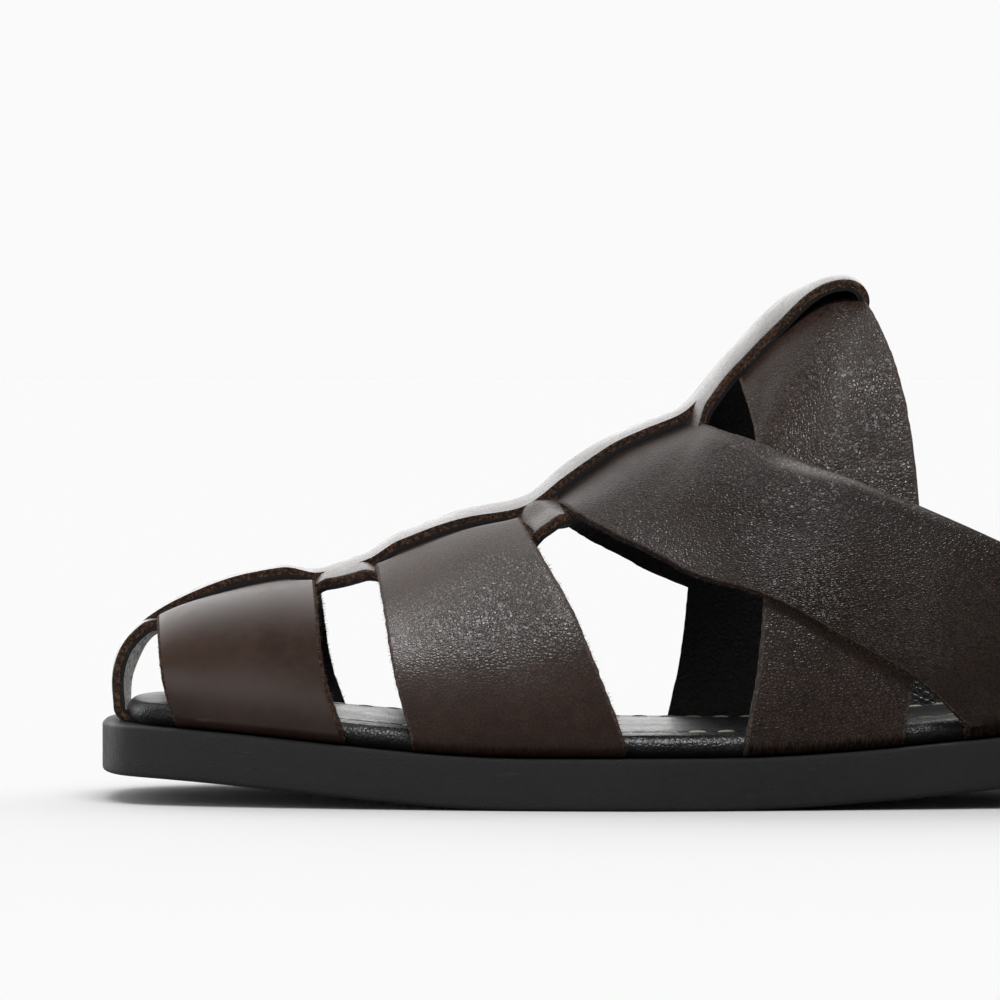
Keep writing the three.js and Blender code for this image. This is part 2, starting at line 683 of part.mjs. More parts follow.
function strapPocket(name, side) {
  const { front, rear } = strapEdges(STRAPS[name], side);
  const spare = (GAP + POCKET_SPARE) / (rear - front);
  const shares = [];
  for (let j = 0; j <= STRAP_COLUMNS; j += 1) shares.push(lerp(-spare, 1 + spare, j / STRAP_COLUMNS));
  return bandFrom(POCKET_STOPS.map((stop) => shares.map((share) => (
    strapCell(name, { girth: side, ...stop }, share, -GAP, STRAP_THICK + POCKET_DEPTH)
  ))));
}

function spinePocket() {
  const half = readAt(SPINE_WIDTH, 'at', 0).half + GAP + POCKET_SPARE;
  const acrosses = [-half, -half / 2, 0, half / 2, half];
  return bandFrom(POCKET_STOPS.map((stop) => acrosses.map((across) => {
    const girth = girthAcross(0, across);
    const tuck = tuckPoint(lastPoint(0, girth), lastNormal(0, girth), stop.angle, stop.run);
    return cellAt(tuck.point, tuck.normal, -GAP, SPINE_THICK + POCKET_DEPTH);
  })));
}

function makeUpper() {
  return Object.keys(STRAPS).reduce((joined, name) => joined.add(makeStrap(name)), makeSpine());
}

function makeRelievedInsole() {
  let insole = makeInsole().subtract(spinePocket());
  for (const name of Object.keys(STRAPS)) {
    for (const side of [-1, 1]) insole = insole.subtract(strapPocket(name, side));
  }
  return insole;
}

// One named mesh from a solid
function meshFrom(name, solid, finish) {
  const data = solid.getMesh();
  const geometry = new THREE.BufferGeometry();
  geometry.setAttribute('position', new THREE.BufferAttribute(new Float32Array(data.vertProperties), 3));
  geometry.setIndex(new THREE.BufferAttribute(new Uint32Array(data.triVerts), 1));
  geometry.computeVertexNormals();
  const mesh = new THREE.Mesh(geometry, new THREE.MeshStandardMaterial({ metalness: 0, ...finish }));
  mesh.name = name;
  return mesh;
}

const RUBBER = { color: 0x2b2b2c, roughness: 0.62 };
const LINING = { color: 0x2f3031, roughness: 0.5 };
const LEATHER = { color: 0x392f2a, roughness: 0.45 };

const clog = new THREE.Group();
clog.add(meshFrom('outsole', makeOutsole(), RUBBER));
clog.add(meshFrom('heel_lift', makeHeelLift(), RUBBER));
clog.add(meshFrom('insole', makeRelievedInsole(), LINING));
clog.add(meshFrom('upper', makeUpper(), LEATHER));

export default clog;
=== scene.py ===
# %% [markdown]
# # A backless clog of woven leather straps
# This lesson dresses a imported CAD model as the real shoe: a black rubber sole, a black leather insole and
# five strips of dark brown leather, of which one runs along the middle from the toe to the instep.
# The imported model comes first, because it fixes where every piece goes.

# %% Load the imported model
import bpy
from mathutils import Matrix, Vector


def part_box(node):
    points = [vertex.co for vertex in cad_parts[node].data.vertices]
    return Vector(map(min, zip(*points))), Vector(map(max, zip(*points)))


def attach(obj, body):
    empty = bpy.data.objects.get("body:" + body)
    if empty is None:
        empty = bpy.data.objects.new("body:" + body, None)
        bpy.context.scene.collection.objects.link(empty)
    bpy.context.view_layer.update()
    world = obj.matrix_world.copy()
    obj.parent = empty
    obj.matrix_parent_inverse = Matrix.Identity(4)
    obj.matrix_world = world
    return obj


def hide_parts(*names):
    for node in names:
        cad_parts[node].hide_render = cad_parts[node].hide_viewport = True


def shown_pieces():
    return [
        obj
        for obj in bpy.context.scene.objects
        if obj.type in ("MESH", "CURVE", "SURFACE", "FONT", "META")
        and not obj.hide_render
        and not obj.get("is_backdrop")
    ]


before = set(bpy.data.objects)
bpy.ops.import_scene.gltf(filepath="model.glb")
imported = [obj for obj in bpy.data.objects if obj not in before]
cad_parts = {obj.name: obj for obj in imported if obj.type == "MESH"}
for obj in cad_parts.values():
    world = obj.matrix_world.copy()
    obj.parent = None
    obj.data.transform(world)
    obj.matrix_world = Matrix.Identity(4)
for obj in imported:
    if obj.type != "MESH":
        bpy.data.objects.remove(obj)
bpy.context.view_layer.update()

import math

import bmesh
import bpy
import numpy as np
from mathutils import Vector

MM = 0.001

# %% [markdown]
# ## The camera
# The photograph looks at the lateral side from a low stand with a long lens, so that near and far edges
# are almost the same size. A 270 mm lens at 1.5 m shows 200 mm of shoe, and the heel stays out of the frame.

# %% Camera
CAMERA_TARGET = Vector((-65.6, 0.0, 59.4)) * MM
CAMERA_DISTANCE = 1500 * MM
CAMERA_RISE = math.radians(1.0)
CAMERA_LENS = 270

scene = bpy.context.scene
looking = Vector((0, math.cos(CAMERA_RISE), -math.sin(CAMERA_RISE)))
camera = bpy.data.objects.new("camera", bpy.data.cameras.new("camera"))
camera.location = CAMERA_TARGET - looking * CAMERA_DISTANCE
camera.rotation_euler = looking.to_track_quat("-Z", "Y").to_euler()
camera.data.lens = CAMERA_LENS
camera.data.clip_end = 200
scene.collection.objects.link(camera)
scene.camera = camera
print("camera stands at", [round(v, 4) for v in camera.location])

# %% [markdown]
# ## The studio
# A shoe on white is lit by a broad soft light above it and by the white room around it. The world is a ramp:
# it is dim overhead, brighter in front of the shoe and towards the toe, and brightest at the wall behind,
# which draws the white sheen along the middle strip. The ceiling softbox lights the matt colours and stays
# out of the reflections, so that dark leather keeps its brown. Two weaker ones fill the side and the toe. The
# camera itself sees an even white, as in a cut-out picture.

# %% Studio floor, world and lights
FLOOR_SIZE = 120.0
BACKDROP = 0.955
# Where the world's ramps start and end, by direction, and its brightness at the toe's and the heel's end
FRONT_FADE = (-0.75, -0.35)
BACK_RISE = (0.05, 1.0)
ENDS = (-0.6, 0.6)
TOE_TO_HEEL = (1.25, 0.45)

scene.view_settings.view_transform = "Standard"
scene.view_settings.look = "None"

half = FLOOR_SIZE / 2
corners = [(-half, -half, 0), (half, -half, 0), (half, half, 0), (-half, half, 0)]
floor_mesh = bpy.data.meshes.new("studio_floor")
floor_mesh.from_pydata(corners, [], [(0, 1, 2, 3)])
floor = bpy.data.objects.new("studio_floor", floor_mesh)
scene.collection.objects.link(floor)
floor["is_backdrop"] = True


def wire(tree, *joins):
    """Links nodes. Each join is a node and its output, then a node and its input."""
    for source, output, target, entry in joins:
        tree.links.new(source.outputs[output], target.inputs[entry])


def empty_tree(owner):
    owner.use_nodes = True
    owner.node_tree.nodes.clear()
    return owner.node_tree


def new_nodes(tree, prefix, *kinds):
    return [tree.nodes.new(prefix + kind) for kind in kinds]


def studio_paper(seen, bounced):
    """Matt paper that shows pale but throws little light back, as a small sheet on a dark table does."""
    paper = bpy.data.materials.new("studio_paper")
    tree = empty_tree(paper)
    path, mix, out, *sheets = new_nodes(
        tree, "ShaderNode", "LightPath", "MixShader", "OutputMaterial", "BsdfDiffuse", "BsdfDiffuse")
    for slot, (sheet, tone) in enumerate(zip(sheets, (bounced, seen)), 1):
        sheet.inputs["Color"].default_value = (tone, tone, tone, 1)
        wire(tree, (sheet, 0, mix, slot))
    wire(tree, (path, "Is Camera Ray", mix, 0), (mix, 0, out, "Surface"))
    return paper


floor_mesh.materials.append(studio_paper(seen=0.87, bounced=0.30))


def studio_world(front, above, back):
    """A soft room: one brightness before the shoe, a darker band overhead and the bright wall behind it."""
    world = bpy.data.worlds.new("studio_world")
    tree = empty_tree(world)
    place, axes, total, room, seen, path, mix, out = new_nodes(
        tree, "ShaderNode", "TexCoord", "SeparateXYZ", "Math", "Background", "Background", "LightPath",
        "MixShader", "OutputWorld")
    total.operation = "MULTIPLY_ADD"
    seen.inputs["Color"].default_value = (BACKDROP, BACKDROP, BACKDROP, 1)
    for slot, (axis, kind, start, end, first, final) in enumerate((
            ("Y", "SMOOTHSTEP", *FRONT_FADE, front, above), ("X", "LINEAR", *ENDS, *TOE_TO_HEEL),
            ("Y", "LINEAR", *BACK_RISE, 0, back))):
        ramp = tree.nodes.new("ShaderNodeMapRange")
        ramp.interpolation_type = kind
        for key, value in (("From Min", start), ("From Max", end), ("To Min", first), ("To Max", final)):
            ramp.inputs[key].default_value = value
        wire(tree, (axes, axis, ramp, "Value"), (ramp, "Result", total, slot))
    wire(tree, (place, "Generated", axes, "Vector"), (total, 0, room, "Strength"),
         (path, "Is Camera Ray", mix, 0), (room, 0, mix, 1), (seen, 0, mix, 2), (mix, 0, out, "Surface"))
    return world


scene.world = studio_world(front=0.42, above=0.14, back=2.6)


def soft_sun(name, towards, spread, energy):
    """A softbox so far away that it lights the floor evenly. Towards points from the shoe to the light."""
    light = bpy.data.lights.new(name, "SUN")
    light.energy = energy
    light.angle = math.radians(spread)
    lamp = bpy.data.objects.new(name, light)
    lamp.rotation_euler = Vector(towards).to_track_quat("Z", "Y").to_euler()
    scene.collection.objects.link(lamp)
    return lamp


ceiling = soft_sun("ceiling_softbox", (0.0, -0.3, 1.0), spread=50, energy=1.6)
ceiling.visible_glossy = False
soft_sun("side_softbox", (0.5, -0.7, 1.0), spread=20, energy=0.15)
toe_softbox = soft_sun("toe_softbox", (-1.0, -0.8, 0.3), spread=50, energy=0.5)
print("studio: floor, world and three soft lights")

# %% [markdown]
# ## The shape of the foot
# The straps lie on a last, the foot-shaped form on which a shoemaker builds. The same tables as in the CAD
# model give its sections, so the fine leather sheets made here lie where the CAD solids are. Each section is
# one cubic curve from the ridge down to the feather line, where the upper meets the sole.

# %% Driving sizes, in millimetres
LENGTH = 1000 * (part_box("outsole")[1].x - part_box("outsole")[0].x)
BALL_WIDTH = 103
INSTEP = 100
HEEL_RISE = 8.6
TOE_SPRING = 5.6
SOLE_THICK = 10
SOLE_ROUND = 0.7
INSOLE_THICK = 4.5
STRAP_THICK = 2.2
SPINE_THICK = 2.3
LINING_THICK = 0.85
GAP = 0.3
FEATHER_INSET = 4.5
TUCK_RADIUS = 0.5
TUCK_RUN = 6.0
FOREFOOT_FLAT = (85, 118)
HEEL_FLAT_FROM = 245
HEEL_LIFT_FROM = 214
HEEL_LIFT_INSET = 1.6
TOE_SWEEP = 3.2
SWEEP_GROWS, SWEEP_FADES = (0, 2), (1, 6)

# Station in percent of the length, lateral and medial half widths in percent of the ball width
OUTLINE = np.array([
    (0.28, 11.7, 18.4), (1.72, 24.8, 31.7), (4.83, 32.0, 39.8), (10.3, 37.9, 45.6), (19.0, 44.2, 48.9),
    (27.6, 48.5, 49.5), (36.2, 50.5, 45.6), (46.6, 48.1, 38.8), (56.9, 43.7, 34.5), (69.0, 39.3, 33.5),
    (81.0, 36.9, 34.5), (90.3, 33.0, 30.6), (96.9, 23.3, 19.9)])
TOE_TIP = (0, 3.9)
HEEL_TIP = (100, -1.9)

# Ridge, height, aside, base, shoulder, wall, bulge and tilt of each section of the last
LAST = np.array([
    (1.57, 18.4, 3.0, 3.0, 0.85, 0.50, 0.0, 0.00), (1.45, 24.6, 3.0, 3.9, 0.85, 0.50, 0.5, 0.00),
    (1.93, 29.6, 3.0, 4.8, 0.84, 0.52, 1.5, -0.02), (3.10, 33.4, 3.0, 5.7, 0.80, 0.55, 2.5, -0.03),
    (5.00, 37.0, 3.0, 6.9, 0.74, 0.55, 3.0, -0.03), (7.93, 39.9, 3.0, 9.0, 0.68, 0.55, 3.0, -0.03),
    (12.1, 42.4, 3.2, 12.6, 0.66, 0.55, 3.0, -0.03), (16.2, 44.4, 3.4, 16.2, 0.57, 0.55, 3.0, 0.04),
    (20.7, 49.3, 3.6, 20.7, 0.53, 0.55, 3.0, 0.07), (25.2, 54.6, 3.8, 25.2, 0.52, 0.55, 3.0, 0.08),
    (29.3, 57.9, 4.0, 29.3, 0.53, 0.54, 3.0, 0.11), (32.1, 63.4, 4.0, 32.1, 0.53, 0.53, 3.0, 0.10),
    (34.7, 67.6, 4.0, 34.7, 0.53, 0.52, 3.0, 0.08), (37.6, 72.2, 4.0, 37.6, 0.54, 0.52, 3.0, 0.06),
    (41.4, 78.0, 4.0, 41.4, 0.56, 0.52, 3.0, 0.00), (44.5, 86.8, 4.0, 44.5, 0.58, 0.52, 3.0, 0.02),
    (47.2, 95.0, 4.0, 47.2, 0.62, 0.52, 3.0, 0.05), (50.0, 98.4, 4.0, 50.0, 0.66, 0.52, 3.0, -0.12),
    (52.8, 98.4, 4.0, 52.8, 0.66, 0.52, 3.0, -0.22), (60.3, 102.0, 3.0, 60.3, 0.66, 0.52, 3.0, -0.20),
    (70.7, 108.0, 2.0, 70.7, 0.66, 0.52, 3.0, -0.16), (81.0, 110.0, 1.0, 81.0, 0.66, 0.52, 3.0, -0.16)])
print("sole", round(LENGTH, 1), "mm long, last of", len(LAST), "sections")


# %% Curves and heights
def smoothstep(x, low, high):
    t = np.clip((x - low) / (high - low), 0, 1)
    return t * t * (3 - 2 * t)


def sole_bottom(at):
    spring = TOE_SPRING * (1 - smoothstep(at, 0, FOREFOOT_FLAT[0]))
    return spring + HEEL_RISE * smoothstep(at, FOREFOOT_FLAT[1], HEEL_FLAT_FROM)


def sole_top(at):
    return sole_bottom(at) + SOLE_THICK


def rows_at(table, place):
    """Rows of a table at places that need not be whole, on a smooth curve through every row."""
    top = len(table) - 1
    place = np.clip(np.asarray(place, float), 0, top)
    index = np.minimum(place.astype(int), top - 1)
    w = (place - index)[..., None]
    b, c = table[index], table[index + 1]
    a = np.where((index > 0)[..., None], table[np.maximum(index - 1, 0)], 2 * b - c)
    d = np.where((index + 2 <= top)[..., None], table[np.minimum(index + 2, top)], 2 * c - b)
    return b + 0.5 * w * (c - a + w * (2 * a - 5 * b + 4 * c - d + w * (3 * (b - c) + d - a)))


def search(reading, target, low, high):
    """The place between low and high where a rising reading meets its target, by halving."""
    low = np.full(np.shape(target), float(low))
    high = np.full(np.shape(target), float(high))
    for _ in range(32):
        middle = (low + high) / 2
        below = reading(middle) < target
        low = np.where(below, middle, low)
        high = np.where(below, high, middle)
    return (low + high) / 2


def read_at(table, value):
    """Rows of a table where its first column has a value."""
    value = np.asarray(value, float)
    return rows_at(table, search(lambda p: rows_at(table, p)[..., 0], value, 0, len(table) - 1))


def outline_points():
    share = np.array([LENGTH, BALL_WIDTH]) / 100
    lateral = OUTLINE[:, :2] * (1, -1) * share
    medial = (OUTLINE[:, [0, 2]] * share)[::-1]
    return np.vstack([np.array(TOE_TIP) * share, lateral, np.array(HEEL_TIP) * share, medial])


def outline_ring(inset, steps):
    """The sole's closed outline moved inwards: rows of (place from the toe tip, y)."""
    p = outline_points()
    p0, p2, p3 = np.roll(p, 1, 0), np.roll(p, -1, 0), np.roll(p, -2, 0)
    knot = [np.sum((b - a) ** 2, 1)[:, None] ** 0.25 for a, b in ((p0, p), (p, p2), (p2, p3))]
    t1 = ((p - p0) / knot[0] - (p2 - p0) / (knot[0] + knot[1])) * knot[1] + (p2 - p)
    t2 = ((p3 - p2) / knot[2] - (p3 - p) / (knot[1] + knot[2])) * knot[1] + (p2 - p)
    square, cube = 3 * (p2 - p) - 2 * t1 - t2, 2 * (p - p2) + t1 + t2
    w = (np.arange(steps) / steps)[None, :, None]
    point = p[:, None] + w * (t1[:, None] + w * (square[:, None] + w * cube[:, None]))
    along = t1[:, None] + w * (2 * square[:, None] + 3 * w * cube[:, None])
    point, along = point.reshape(-1, 2), along.reshape(-1, 2)
    along = along / np.linalg.norm(along, axis=1)[:, None]
    return point + inset * np.stack([-along[:, 1], along[:, 0]], 1)


middle_line = outline_ring(0, 40)[:, 1]
SHIFT_Y = (middle_line.min() + middle_line.max()) / 2
feather = outline_ring(FEATHER_INSET, 20) - (0, SHIFT_Y)
turn = len(feather) // 2
FEATHER = {-1: feather[:turn + 1], 1: np.vstack([feather[:1], feather[turn:][::-1]])}


def feather_y(side, at):
    lines = [np.interp(at, np.maximum.accumulate(FEATHER[s][:, 0]), FEATHER[s][:, 1]) for s in (-1, 1)]
    return np.where(side < 0, lines[0], lines[1])


def last_point(section, girth):
    """Points of the last. Girth is -1 at the lateral feather line, 0 at the ridge, 1 at the medial line."""
    section, girth = np.broadcast_arrays(np.asarray(section, float), np.asarray(girth, float))
    side = np.where(girth < 0, -1.0, 1.0)
    ridge, height, aside, base, shoulder, wall, bulge, tilt = np.moveaxis(rows_at(LAST, section), -1, 0)
    base_at = base * LENGTH / 100
    top = np.stack([ridge * LENGTH / 100 - LENGTH / 2, aside, height * INSTEP / 100], -1)
    rest = sole_top(base_at) + GAP + STRAP_THICK + TUCK_RADIUS
    foot = np.stack([base_at - LENGTH / 2, feather_y(side, base_at), rest], -1)
    reach = shoulder * (foot[..., 1] - aside)
    none = np.zeros_like(reach)
    crown = top + np.stack([none, reach, reach * tilt], -1)
    flank = foot + wall[..., None] * (top - foot) * (1, 0, 1) + np.stack([none, side * bulge, none], -1)
    swept = smoothstep(section, *SWEEP_GROWS) * (1 - smoothstep(section, *SWEEP_FADES))
    sweep = np.where(side > 0, TOE_SWEEP * swept, 0)
    crown[..., 0] += sweep
    flank[..., 0] += sweep
    u = np.abs(girth)[..., None]
    v = 1 - u
    return v ** 3 * top + 3 * v * v * u * crown + 3 * v * u * u * flank + u ** 3 * foot


def section_at(x, girth):
    return search(lambda s: last_point(s, girth)[..., 0], x, 2, len(LAST) - 1)


def unit(vectors):
    return vectors / np.linalg.norm(vectors, axis=-1)[..., None]


def last_normal(section, girth, step=0.01):
    ahead = last_point(np.minimum(section + step, len(LAST) - 1), girth)
    behind = last_point(np.maximum(section - step, 0), girth)
    over = last_point(section, np.minimum(girth + step, 1))
    under = last_point(section, np.maximum(girth - step, -1))
    return unit(np.cross(ahead - behind, over - under))


print("ridge of the last at the instep:", np.round(last_point(18, 0), 1))

# %% [markdown]
# ## Shared effects for the materials
# Leather grain and uneven tone show on several materials, so each effect is a node group with named inputs.
# The grain is a cell pattern: low cushions between fine valleys. A little noise bends the cells, so that they
# don't look like a printed grid. The second group gives slow patches of tone for dye, dust and handling.


# %% Shader node groups
def new_group(name, inputs, outputs):
    group = bpy.data.node_groups.new(name, "ShaderNodeTree")
    for label, kind, value in inputs:
        socket = group.interface.new_socket(label, in_out="INPUT", socket_type="NodeSocket" + kind)
        if value is not None:
            socket.default_value = value
    for label, kind in outputs:
        group.interface.new_socket(label, in_out="OUTPUT", socket_type="NodeSocket" + kind)
    ends = group.nodes.new("NodeGroupInput"), group.nodes.new("NodeGroupOutput")
    return group, ends[0], ends[1]


def math_node(tree, operation, first, second, third=None, clamp=False):
    """One step of arithmetic between sockets or plain numbers."""
    node = tree.nodes.new("ShaderNodeMath")
    node.operation = operation
    node.use_clamp = clamp
    for socket, value in zip(node.inputs, (first, second, third)):
        if isinstance(value, (int, float)):
            socket.default_value = value
        elif value is not None:
            tree.links.new(value, socket)
    return node.outputs[0]


def noise_node(tree, place, scale, detail=2.0, roughness=0.5):
    node = tree.nodes.new("ShaderNodeTexNoise")
    node.inputs["Scale"].default_value = scale
    node.inputs["Detail"].default_value = detail
    node.inputs["Roughness"].default_value = roughness
    tree.links.new(place, node.inputs["Vector"])
    return node


def range_node(tree, value, low, high, start=0.0, end=1.0):
    node = tree.nodes.new("ShaderNodeMapRange")
    node.interpolation_type = "SMOOTHSTEP"
    tree.links.new(value, node.inputs["Value"])
    for key, number in (("From Min", low), ("From Max", high), ("To Min", start), ("To Max", end)):
        node.inputs[key].default_value = number
    return node.outputs["Result"]


def mix_color(tree, factor, first, second):
    """Blends two colours, each a socket or a fixed colour, by a factor."""
    node = tree.nodes.new("ShaderNodeMix")
    node.data_type = "RGBA"
    tree.links.new(factor, node.inputs[0])
    for socket, colour in zip(node.inputs[6:8], (first, second)):
        if isinstance(colour, tuple):
            socket.default_value = colour
        else:
            tree.links.new(colour, socket)
    return node.outputs[2]


def make_grain_group():
    group, entry, leave = new_group(
        "pebble_grain",
        [("Place", "Vector", None), ("Cells per metre", "Float", 1200.0), ("Bend", "Float", 0.0004)],
        [("Height", "Float"), ("Valley", "Float")])
    bend = noise_node(group, entry.outputs["Place"], 700.0)
    shift, size, moved, cells = new_nodes(
        group, "ShaderNode", "VectorMath", "VectorMath", "VectorMath", "TexVoronoi")
    shift.operation = "SUBTRACT"
    shift.inputs[1].default_value = (0.5, 0.5, 0.5)
    size.operation = "SCALE"
    cells.feature = "DISTANCE_TO_EDGE"
    wire(group, (bend, "Color", shift, 0), (shift, 0, size, 0), (entry, "Bend", size, "Scale"),
         (entry, "Place", moved, 0), (size, 0, moved, 1), (moved, 0, cells, "Vector"),
         (entry, "Cells per metre", cells, "Scale"))
    fine = noise_node(group, entry.outputs["Place"], 5200.0)
    cushion = range_node(group, cells.outputs["Distance"], 0.0, 0.34)
    speck = math_node(group, "MULTIPLY", fine.outputs[0], 0.06)
    group.links.new(math_node(group, "ADD", cushion, speck), leave.inputs["Height"])
    group.links.new(range_node(group, cells.outputs["Distance"], 0.0, 0.14, 1.0, 0.0), leave.inputs["Valley"])
    return group


def make_patch_group():
    group, entry, leave = new_group(
        "tone_patches",
        [("Place", "Vector", None), ("Dark", "Color", (0, 0, 0, 1)), ("Light", "Color", (1, 1, 1, 1))],
        [("Color", "Color"), ("Patch", "Float")])
    broad = noise_node(group, entry.outputs["Place"], 55.0, 3.0, 0.55)
    small = noise_node(group, entry.outputs["Place"], 420.0, 2.0, 0.6)
    blend = math_node(group, "ADD", math_node(group, "MULTIPLY", broad.outputs[0], 0.62),
                      math_node(group, "MULTIPLY", small.outputs[0], 0.38))
    patch = range_node(group, blend, 0.33, 0.67)
    tone = mix_color(group, patch, entry.outputs["Dark"], entry.outputs["Light"])
    group.links.new(tone, leave.inputs["Color"])
    group.links.new(patch, leave.inputs["Patch"])
    return group


GRAIN = make_grain_group()
PATCHES = make_patch_group()
print("shader groups:", GRAIN.name, PATCHES.name)

# %% [markdown]
# ## Materials
# The straps are dyed brown leather with a satin finish. Their cut edges are left raw, so brown fibres show,
# and a thin black lining is glued to the back, with a pale grey painted sheen under the toe. The grain
# follows each strap's flat pattern, kept as a UV map, and its valleys are darkened with painted shade. Two
# attributes are painted on each strap: grain is the grain's strength, and the other marks a pale rim of
# painted highlight. The same leather is made three times: smooth for the toe strap, duller for the grained
# straps, glossier for the middle strip.


# %% Material helpers
def new_material(name, roughness, **constants):
    material = bpy.data.materials.new(name)
    material.use_nodes = True
    tree = material.node_tree
    shader = tree.nodes["Principled BSDF"]
    shader.inputs["Roughness"].default_value = roughness
    for key, value in constants.items():
        shader.inputs[key.replace("_", " ")].default_value = value
    return material, tree, shader


def object_place(tree):
    return tree.nodes.new("ShaderNodeTexCoord").outputs["Object"]


def attribute(tree, name):
    node = tree.nodes.new("ShaderNodeAttribute")
    node.attribute_name = name
    return node.outputs["Fac"]


def place_group(tree, group, place, **values):
    node = tree.nodes.new("ShaderNodeGroup")
    node.node_tree = group
    tree.links.new(place, node.inputs["Place"])
    for key, value in values.items():
        node.inputs[key.replace("_", " ")].default_value = value
    return node


def add_bump(tree, shader, height, distance, strength=1.0):
    bump = tree.nodes.new("ShaderNodeBump")
    bump.inputs["Distance"].default_value = distance
    bump.inputs["Strength"].default_value = strength
    tree.links.new(height, bump.inputs["Height"])
    tree.links.new(bump.outputs["Normal"], shader.inputs["Normal"])


def vary_roughness(tree, shader, tone, low, high):
    tree.links.new(range_node(tree, tone.outputs["Patch"], 0.0, 1.0, low, high), shader.inputs["Roughness"])


# %% Strap leather, raw edge and lining
BROWN = {"Dark": (0.038, 0.0205, 0.0143, 1), "Light": (0.057, 0.0315, 0.0223, 1)}
# Painted shade: the grain's valleys are mixed towards this dark brown, the more the stronger the grain.
VALLEY_SHADE_BROWN = (0.010, 0.0065, 0.005, 1)
# Painted highlight: a pale rim along the slanted strap's rear edge is mixed towards this colour.
PAINTED_HIGHLIGHT_BROWN = (0.34, 0.31, 0.29, 1)
VALLEY_SHADE_STRENGTH, VALLEY_DULLS = 3.4, 0.12
# Painted sheen: where the lining under the toe is painted pale grey, and that grey, crackled by noise.
PAINTED_SHEEN_TOE = (-130 * MM, -122 * MM)
PAINTED_SHEEN_GREY = (0.58, 0.57, 0.55, 1)


def make_strap_leather(name, smooth, dull, shine):
    material, tree, shader = new_material(name, 0.35, Specular_IOR_Level=shine)
    uv = tree.nodes.new("ShaderNodeUVMap")
    uv.uv_map = "flat"
    amount, painted_highlight = attribute(tree, "grain"), attribute(tree, "painted_highlight")
    tone = place_group(tree, PATCHES, object_place(tree), **BROWN)
    grain = place_group(tree, GRAIN, uv.outputs["UV"], Cells_per_metre=1450.0, Bend=0.0006)
    valley = math_node(tree, "MULTIPLY", grain.outputs["Valley"], amount, clamp=True)
    # Painted shade darkens the grain's valleys.
    shade = math_node(tree, "MULTIPLY", valley, VALLEY_SHADE_STRENGTH, clamp=True)
    tips = math_node(tree, "MULTIPLY_ADD", grain.outputs["Valley"], -0.7, 1.0)
    brown = mix_color(tree, shade, tone.outputs["Color"], VALLEY_SHADE_BROWN)
    # Painted highlight: the second attribute mixes in a pale colour, strongest on the grain's cushions.
    brown = mix_color(tree, math_node(tree, "MULTIPLY", painted_highlight, tips), brown, PAINTED_HIGHLIGHT_BROWN)
    tree.links.new(brown, shader.inputs["Base Color"])
    rough = math_node(tree, "ADD", range_node(tree, tone.outputs["Patch"], 0.0, 1.0, smooth, dull),
                      math_node(tree, "MULTIPLY", valley, VALLEY_DULLS))
    tree.links.new(rough, shader.inputs["Roughness"])
    add_bump(tree, shader, math_node(tree, "MULTIPLY", grain.outputs["Height"], amount), 0.00020)
    return material


def make_raw_edge():
    material, tree, shader = new_material("raw_edge", 0.85)
    fibre = noise_node(tree, object_place(tree), 1500.0, 3.0, 0.7)
    tone = mix_color(tree, range_node(tree, fibre.outputs[0], 0.42, 0.72), (0.020, 0.012, 0.009, 1),
                     (0.150, 0.075, 0.042, 1))
    tree.links.new(tone, shader.inputs["Base Color"])
    add_bump(tree, shader, fibre.outputs[0], 0.0006, 0.8)
    return material


def make_lining():
    material, tree, shader = new_material("lining", 0.45)
    place = object_place(tree)
    tone = place_group(tree, PATCHES, place, Dark=(0.010, 0.009, 0.010, 1), Light=(0.020, 0.018, 0.018, 1))
    axes = tree.nodes.new("ShaderNodeSeparateXYZ")
    tree.links.new(place, axes.inputs[0])
    crackle = noise_node(tree, place, 1100.0, 3.0, 0.65)
    # A pale grey crackled patch under the toe: a painted sheen on the lining.
    painted_sheen = math_node(tree, "MULTIPLY", range_node(tree, axes.outputs["X"], *PAINTED_SHEEN_TOE, 1.0, 0.0),
                     range_node(tree, crackle.outputs[0], 0.36, 0.54))
    tree.links.new(mix_color(tree, painted_sheen, tone.outputs["Color"], PAINTED_SHEEN_GREY), shader.inputs["Base Color"])
    vary_roughness(tree, shader, tone, 0.36, 0.52)
    grain = place_group(tree, GRAIN, place, Cells_per_metre=900.0, Bend=0.0008)
    add_bump(tree, shader, grain.outputs["Height"], 0.00015, 0.6)
    return material


STRAP_LEATHER = make_strap_leather("strap_leather", 0.30, 0.38, 0.5)
GRAINED_LEATHER = make_strap_leather("grained_leather", 0.36, 0.44, 0.25)
SPINE_LEATHER = make_strap_leather("spine_leather", 0.20, 0.28, 0.5)
RAW_EDGE = make_raw_edge()
LINING = make_lining()
LINING_EDGE = new_material("lining_edge", 0.55, Base_Color=(0.011, 0.010, 0.011, 1))[0]
print("leather materials:", STRAP_LEATHER.name, GRAINED_LEATHER.name, SPINE_LEATHER.name, LINING.name)


# %% Rubber, insole leather and thread
def make_rubber():
    material, tree, shader = new_material("sole_rubber", 0.55)
    place = object_place(tree)
    tone = place_group(tree, PATCHES, place, Dark=(0.0165, 0.0165, 0.017, 1), Light=(0.025, 0.025, 0.0255, 1))
    stretch = tree.nodes.new("ShaderNodeMapping")
    stretch.inputs["Scale"].default_value = (0.12, 0.5, 1.0)
    tree.links.new(place, stretch.inputs["Vector"])
    scuff = noise_node(tree, stretch.outputs[0], 900.0, 3.0, 0.6)
    mask = range_node(tree, scuff.outputs[0], 0.64, 0.78)
    black = mix_color(tree, math_node(tree, "MULTIPLY", mask, 0.5), tone.outputs["Color"],
                      (0.045, 0.045, 0.046, 1))
    tree.links.new(black, shader.inputs["Base Color"])
    vary_roughness(tree, shader, tone, 0.48, 0.62)
    fine = noise_node(tree, place, 2600.0, 3.0, 0.6)
    add_bump(tree, shader, fine.outputs[0], 0.00030, 0.8)
    return material


